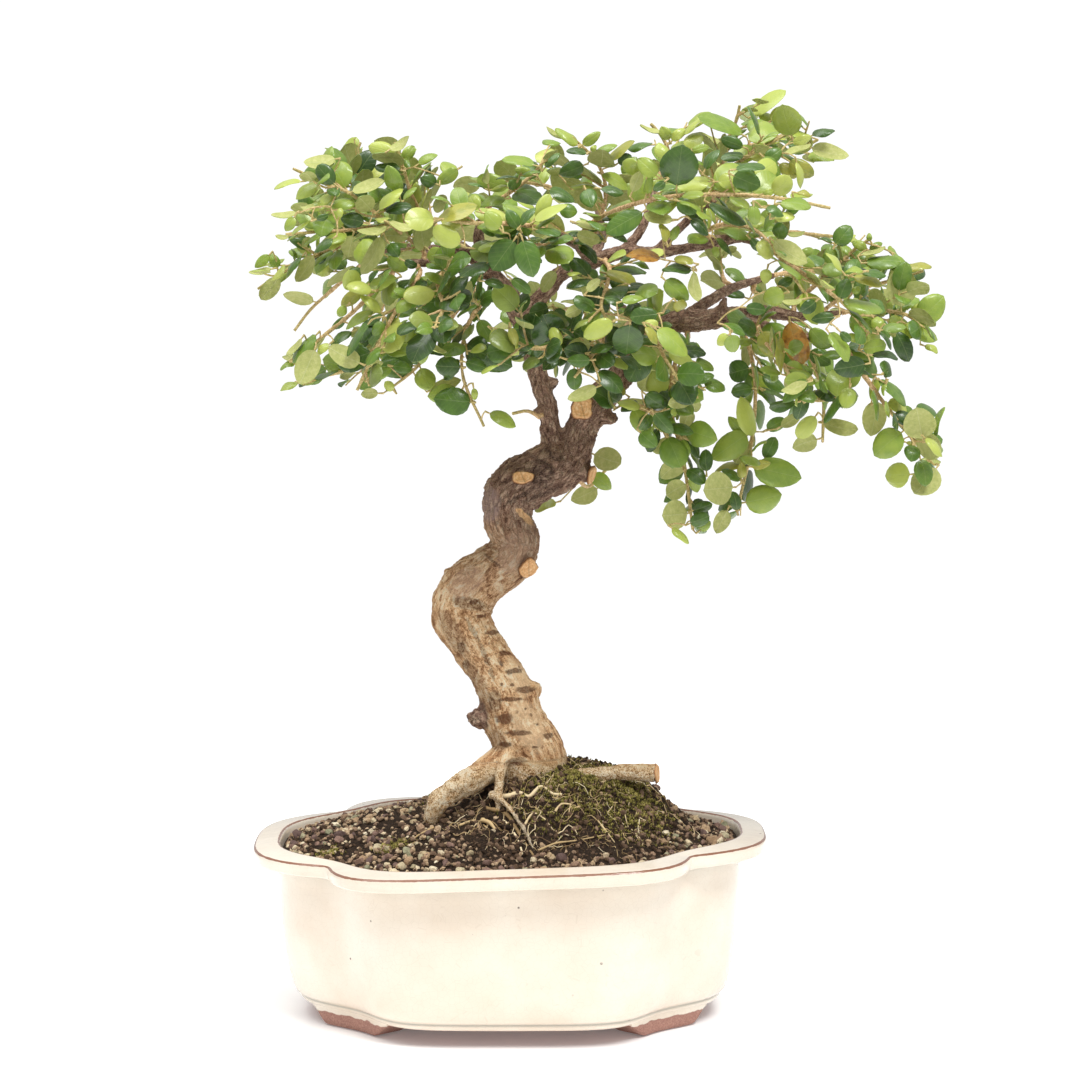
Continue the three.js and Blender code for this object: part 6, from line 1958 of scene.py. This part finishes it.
def fill_twig(crown, rng, spray, places, shares, lengths):
    """Tries a leaf on each side of a twig at shares of its length."""
    for share in shares:
        for sign in (1, -1):
            fill_leaf(crown, rng, spray, places, share, sign, lengths)


def grow_twiglet(rng, places, share, sign):
    """A short side shoot off a twig, or None where it has no room."""
    foot, along, outward = along_twig(places, share)
    aside = unit(cross(unit(outward + np.array([0, 0, 0.3])), along)) * sign
    way = unit(along * 0.7 + aside * rng.uniform(*TWIGLET_ASIDE) + outward * rng.uniform(*TWIGLET_OUTWARD))
    length = rng.uniform(*TWIGLET_LENGTH)
    bend = np.array([0, 0, rng.uniform(*TWIGLET_RISE)]) * length
    made = curve_points([foot, foot + way * length * 0.5 + bend * 0.2, foot + way * length + bend], 4)
    fits = in_room(made, TWIGLET_MARGIN) and in_outline(made[-1], CROWN_OUTLINE)
    return made if fits else None


def grow_crown():
    """Every leaf of the plant, and its twigs as (spray, places, radii, how young its foot is)."""
    crown = Crown()
    twigs = []
    paths = {}
    for name, points in SPRAYS.items():
        places, foot = crown.twig_places(points)
        paths[name] = places
        crown.twigs.append((name, places))
        twigs.append((name, np.vstack([foot, places]), FINE_TWIG_RADII, 0.0))
    crown.settle_twigs(TWIG_BASE_RADIUS)
    draw = Draw(SEED)
    for name, places in paths.items():
        few = len(SPRAYS[name]) < 4
        count = LEAVES_A_SPRAY - 2 if few else LEAVES_A_SPRAY - name.startswith("back")
        place_solid_leaves(crown, name, places, count, draw)
    for leaf in crown.leaves:
        leaf.shown = fits_outline(leaf)
    rng = np.random.default_rng(51)
    crown.settle_twigs(FINE_TWIG_CLEARANCE)
    joints = place_seen_leaves(crown, Carriers(paths), rng)
    for name, line in joints:
        twigs.append((name, line, JOINT_RADII, 0.8))
    crown.twigs.extend((name, line) for name, line in joints if line_length(line) > LONG_JOINT)
    shoots = []
    for name, places in paths.items():
        for number, share in enumerate(TWIGLET_SHARES):
            made = grow_twiglet(rng, places, share + rng.uniform(-0.05, 0.05), 1 if number % 2 else -1)
            if made is not None:
                shoots.append((name, made))
                crown.twigs.append((name, made))
                twigs.append((name, made, TWIGLET_RADII, 0.7))
    crown.settle_twigs(TWIGLET_CLEARANCE)
    for name, places in paths.items():
        steps = int(line_length(places) / FILL_STEP)
        shares = [step / steps for step in range(1, steps + 1)]
        fill_twig(crown, rng, name, places, shares, FILL_LENGTH)
    for name, places in shoots:
        fill_twig(crown, rng, name, places, SHOOT_FILL_SHARES, SHOOT_FILL_LENGTH)
    for name, places in [*paths.items(), *shoots]:
        feet = [(share, along_twig(places, share)[0]) for share in MIDDLE_SHARES]
        shares = [share for share, foot in feet if in_outline(foot, CROWN_MIDDLE)]
        fill_twig(crown, rng, name, places, shares, MIDDLE_FILL_LENGTH)
    return crown, twigs


BLADE_ALONG = 8
BLADE_ACROSS = np.array([-1, -0.64, -0.1, 0.1, 0.64, 1])

# A blade's form is drawn between these: how it tapers to its foot and to its tip, how far it domes, folds,
# droops and waves, and how it bends to a side
FOOT_TAPER = (0.46, 0.6)
TIP_TAPER = (0.5, 0.72)
BLADE_DOME = (0.02, 0.16)
BLADE_FOLD = (-0.05, 0.1)
BLADE_DROOP = (0.3, 1.6)
BLADE_WAVE = (0.1, 0.45)
BLADE_BEND = (-0.05, 0.05)

# The crown's leaves get a painted shade, darkest low in its middle
SHADE_MIDDLE = (12, 258)
SHADE_SPREAD = (45, 34)


def blade_grid():
    """Shares along and across a blade, its faces, and how its two skins meet at the rim."""
    even = np.arange(BLADE_ALONG + 1) / BLADE_ALONG
    eased = (1 - np.cos(math.pi * even)) / 2
    shares = even * 0.45 + eased * 0.55
    columns = len(BLADE_ACROSS)
    count = (BLADE_ALONG + 1) * columns
    top = []
    for i in range(BLADE_ALONG):
        for j in range(columns - 1):
            a = i * columns + j
            top.append((a, a + columns, a + columns + 1, a + 1))
    under = [tuple(count + k for k in reversed(face)) for face in top]
    low = list(range(0, columns))
    right = [i * columns + columns - 1 for i in range(1, BLADE_ALONG + 1)]
    high = [BLADE_ALONG * columns + j for j in range(columns - 2, -1, -1)]
    left = [i * columns for i in range(BLADE_ALONG - 1, 0, -1)]
    loop = low + right + high + left
    rim = []
    for k, a in enumerate(loop):
        b = loop[(k + 1) % len(loop)]
        rim.append((a, b, count + b, count + a))
    return shares, top, under, rim


def blade_points(leaf, shares, rng):
    """The two skins of a leaf's blade and each point's place in the leaf."""
    length = leaf.length - PETIOLE_SHOWN
    low_power = rng.uniform(*FOOT_TAPER)
    high_power = rng.uniform(*TIP_TAPER)
    peak = low_power / (low_power + high_power)
    scale = peak ** low_power * (1 - peak) ** high_power
    half = leaf.width / 2 * np.power(shares, low_power) * np.power(1 - shares, high_power) / scale
    half = np.maximum(half, 0.09)
    grid_s = BLADE_ACROSS[None, :]
    grid_t = shares[:, None]
    aside = half[:, None] * grid_s
    dome = rng.uniform(*BLADE_DOME) * leaf.width
    fold = rng.uniform(*BLADE_FOLD)
    droop = rng.uniform(*BLADE_DROOP)
    wave = rng.uniform(*BLADE_WAVE)
    phase = rng.uniform(0, 6.28)
    lift = 0.9 * np.sin(math.pi * grid_t) * (1 - 0.3 * grid_s ** 2) - droop * grid_t ** 3
    lift = lift - dome * grid_s ** 2 * np.sin(math.pi * np.clip(grid_t, 0.02, 1)) + fold * np.abs(aside)
    lift = lift + wave * np.sin(7 * grid_t + phase + 2.5 * grid_s) * grid_s ** 2
    groove = np.where(np.abs(grid_s) < 0.2, 1.0, 0.0) * np.minimum(1, 6 * (1 - grid_t))
    base = leaf.twig_place + leaf.along * (LEAF_FOOT_OUT + PETIOLE_SHOWN)
    side_bend = rng.uniform(*BLADE_BEND) * leaf.length * grid_t ** 2
    along = leaf.along[None, None, :] * (grid_t * length)[:, :, None]
    across = leaf.across[None, None, :] * (aside + side_bend)[:, :, None]
    sheet = base + along + across
    edge = np.where(np.abs(grid_s) > 0.99, 0.35, 1.0) * np.ones_like(grid_t)
    normal = leaf.normal[None, None, :]
    top = sheet + normal * (lift + BLADE_THICKNESS / 2 * edge - 0.13 * groove)[:, :, None]
    under = sheet + normal * (lift - BLADE_THICKNESS / 2 * edge - 0.2 * groove)[:, :, None]
    rows = np.ones_like(aside)
    place = np.stack([grid_t * length * rows, aside, leaf.length * rows], axis=2)
    points = np.vstack([top.reshape(-1, 3), under.reshape(-1, 3)])
    return points, np.vstack([place.reshape(-1, 3)] * 2)


def leaf_kind(leaf, rng):
    """A leaf's tone from dark to light, with painted shade, and how young and how withered it is."""
    if leaf.look:
        tone, young, withered = LOOKS[leaf.look]
        return np.array([tone + 0.07 * rng.normal(), young, withered])
    x, y, z = leaf.middle
    aside = (x - SHADE_MIDDLE[0]) / SHADE_SPREAD[0]
    upward = (z - SHADE_MIDDLE[1]) / SHADE_SPREAD[1]
    # painted shade: leaves low in the crown's middle are darkened, less so at the back
    middle_shade = math.exp(-aside ** 2 - upward ** 2) * (1 if y < 20 else 0.4)
    tone = 0.46 + 0.24 * rng.normal() - 0.42 * middle_shade + 0.12 * (z - 290) / 50
    young = 0.0
    if leaf.share > 0.9 and rng.uniform() < 0.3:
        young = rng.uniform(0.2, 0.7)
    elif rng.uniform() < 0.06:
        young = rng.uniform(0.2, 0.5)
    return np.array([min(max(tone, 0.02), 0.95), young, 0.0])


def make_foliage():
    crown, twigs = grow_crown()
    top, under, bark = leaf_top_finish(), leaf_under_finish(), twig_finish()
    shares, top_faces, under_faces, rim_faces = blade_grid()
    rng = np.random.default_rng(61)
    for piece, starts in FOLIAGE_PIECES.items():
        made = Patchwork()
        names = [name for name in SPRAYS if name.startswith(starts)]
        for name, places, radii, young in twigs:
            if name not in names:
                continue
            sides = 6 if radii[0] > 0.6 else 5
            line = fine_line(places, 1.4)
            radii = np.linspace(*radii, len(line)) * (1 + 0.1 * rng.normal(size=len(line)))
            share = np.repeat(np.linspace(young, 1, len(line)), sides)
            add_tube(made, line, radii, sides, material=2, twig_place=np.stack([share] * 3, axis=1))
        for leaf in crown.leaves:
            if leaf.spray not in names or not leaf.shown:
                continue
            points, places = blade_points(leaf, shares, rng)
            first = made.count
            made.add(points, top_faces, 0, leaf_place=places, leaf_kind=leaf_kind(leaf, rng))
            for faces, material in ((under_faces, 1), (rim_faces, 0)):
                made.faces.extend([[first + corner for corner in face] for face in faces])
                made.materials.extend([material] * len(faces))
            stalk = np.array([
                leaf.twig_place - leaf.along * 0.2, leaf.twig_place + leaf.along * (PETIOLE * 0.7),
                leaf.twig_place + leaf.along * (LEAF_FOOT_OUT + PETIOLE * 1.3),
            ])
            radii = [PETIOLE_RADIUS * 1.25, PETIOLE_RADIUS, PETIOLE_RADIUS * 0.6]
            add_tube(made, stalk, radii, 4, material=2, twig_place=np.array([1.0, 1.0, 1.0]))
        foliage = made.make(piece, [top, under, bark], sharp_above=65)
        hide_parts(*[f"spray_{name}" for name in names])


def dress_drain_mesh():
    finish = mesh_finish()
    for name in ("drain_mesh_left", "drain_mesh_right"):
        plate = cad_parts[name]
        plate.data.materials.clear()
        plate.data.materials.append(finish)


# Studio

def make_camera():
    data = bpy.data.cameras.new("camera")
    data.lens = CAMERA_LENS
    data.sensor_width = CAMERA_SENSOR
    data.clip_end = 20
    camera = put_in_scene("camera", data)
    camera.location = EYE * MM + POT_MIDDLE
    camera.rotation_euler = (math.pi / 2 - CAMERA_DOWN, 0, 0)
    bpy.context.scene.camera = camera


def add_sun(name, strength, softness, towards):
    data = bpy.data.lights.new(name, "SUN")
    data.energy = strength
    data.angle = math.radians(softness)
    put_in_scene(name, data).rotation_euler = Vector(towards).to_track_quat("-Z", "Y").to_euler()


FLOOR_RADIUS = 0.55
FLOOR_GLOW = 0.1
ROOM_LIGHT = 0.58
ROOM_SEEN = 1.05

# Suns: strength, softness in degrees and the way that they shine
SUNS = {"key": (2.0, 22, (-0.35, 0.5, -1.0)), "top": (1.5, 45, (0.35, 0.1, -1.0))}


def make_studio():
    bpy.ops.mesh.primitive_circle_add(vertices=96, radius=FLOOR_RADIUS, fill_type="NGON")
    floor = bpy.context.object
    floor.name = "floor"
    floor.location = Vector((POT_MIDDLE[0], POT_MIDDLE[1], POT_LOW.z - 0.0002))
    made = Finish("studio_floor", roughness=0.9, Emission_Color=(1, 1, 1, 1), Emission_Strength=FLOOR_GLOW)
    grain = made.noise(made.place, 30, 2)
    made.set("Base Color", made.ramp(grain, [(0.3, "#fafafa"), (0.7, "#ffffff")]))
    floor.data.materials.append(made.material)
    world = bpy.data.worlds.new("studio")
    world.use_nodes = True
    bpy.context.scene.world = world
    nodes = world.node_tree.nodes
    path = nodes.new("ShaderNodeLightPath")
    strength = nodes.new("ShaderNodeMapRange")
    strength.inputs["To Min"].default_value = ROOM_LIGHT
    strength.inputs["To Max"].default_value = ROOM_SEEN
    world.node_tree.links.new(path.outputs["Is Camera Ray"], strength.inputs["Value"])
    world.node_tree.links.new(strength.outputs["Result"], nodes["Background"].inputs["Strength"])
    nodes["Background"].inputs["Color"].default_value = (1, 1, 1, 1)
    for name, sun in SUNS.items():
        add_sun(name, *sun)
    bpy.context.scene.view_settings.view_transform = "Standard"


make_camera()
make_studio()
make_pot()
dress_drain_mesh()
make_soil()
make_grains()
make_moss()
make_root_hairs()
make_wood()
make_cuts()
make_foliage()
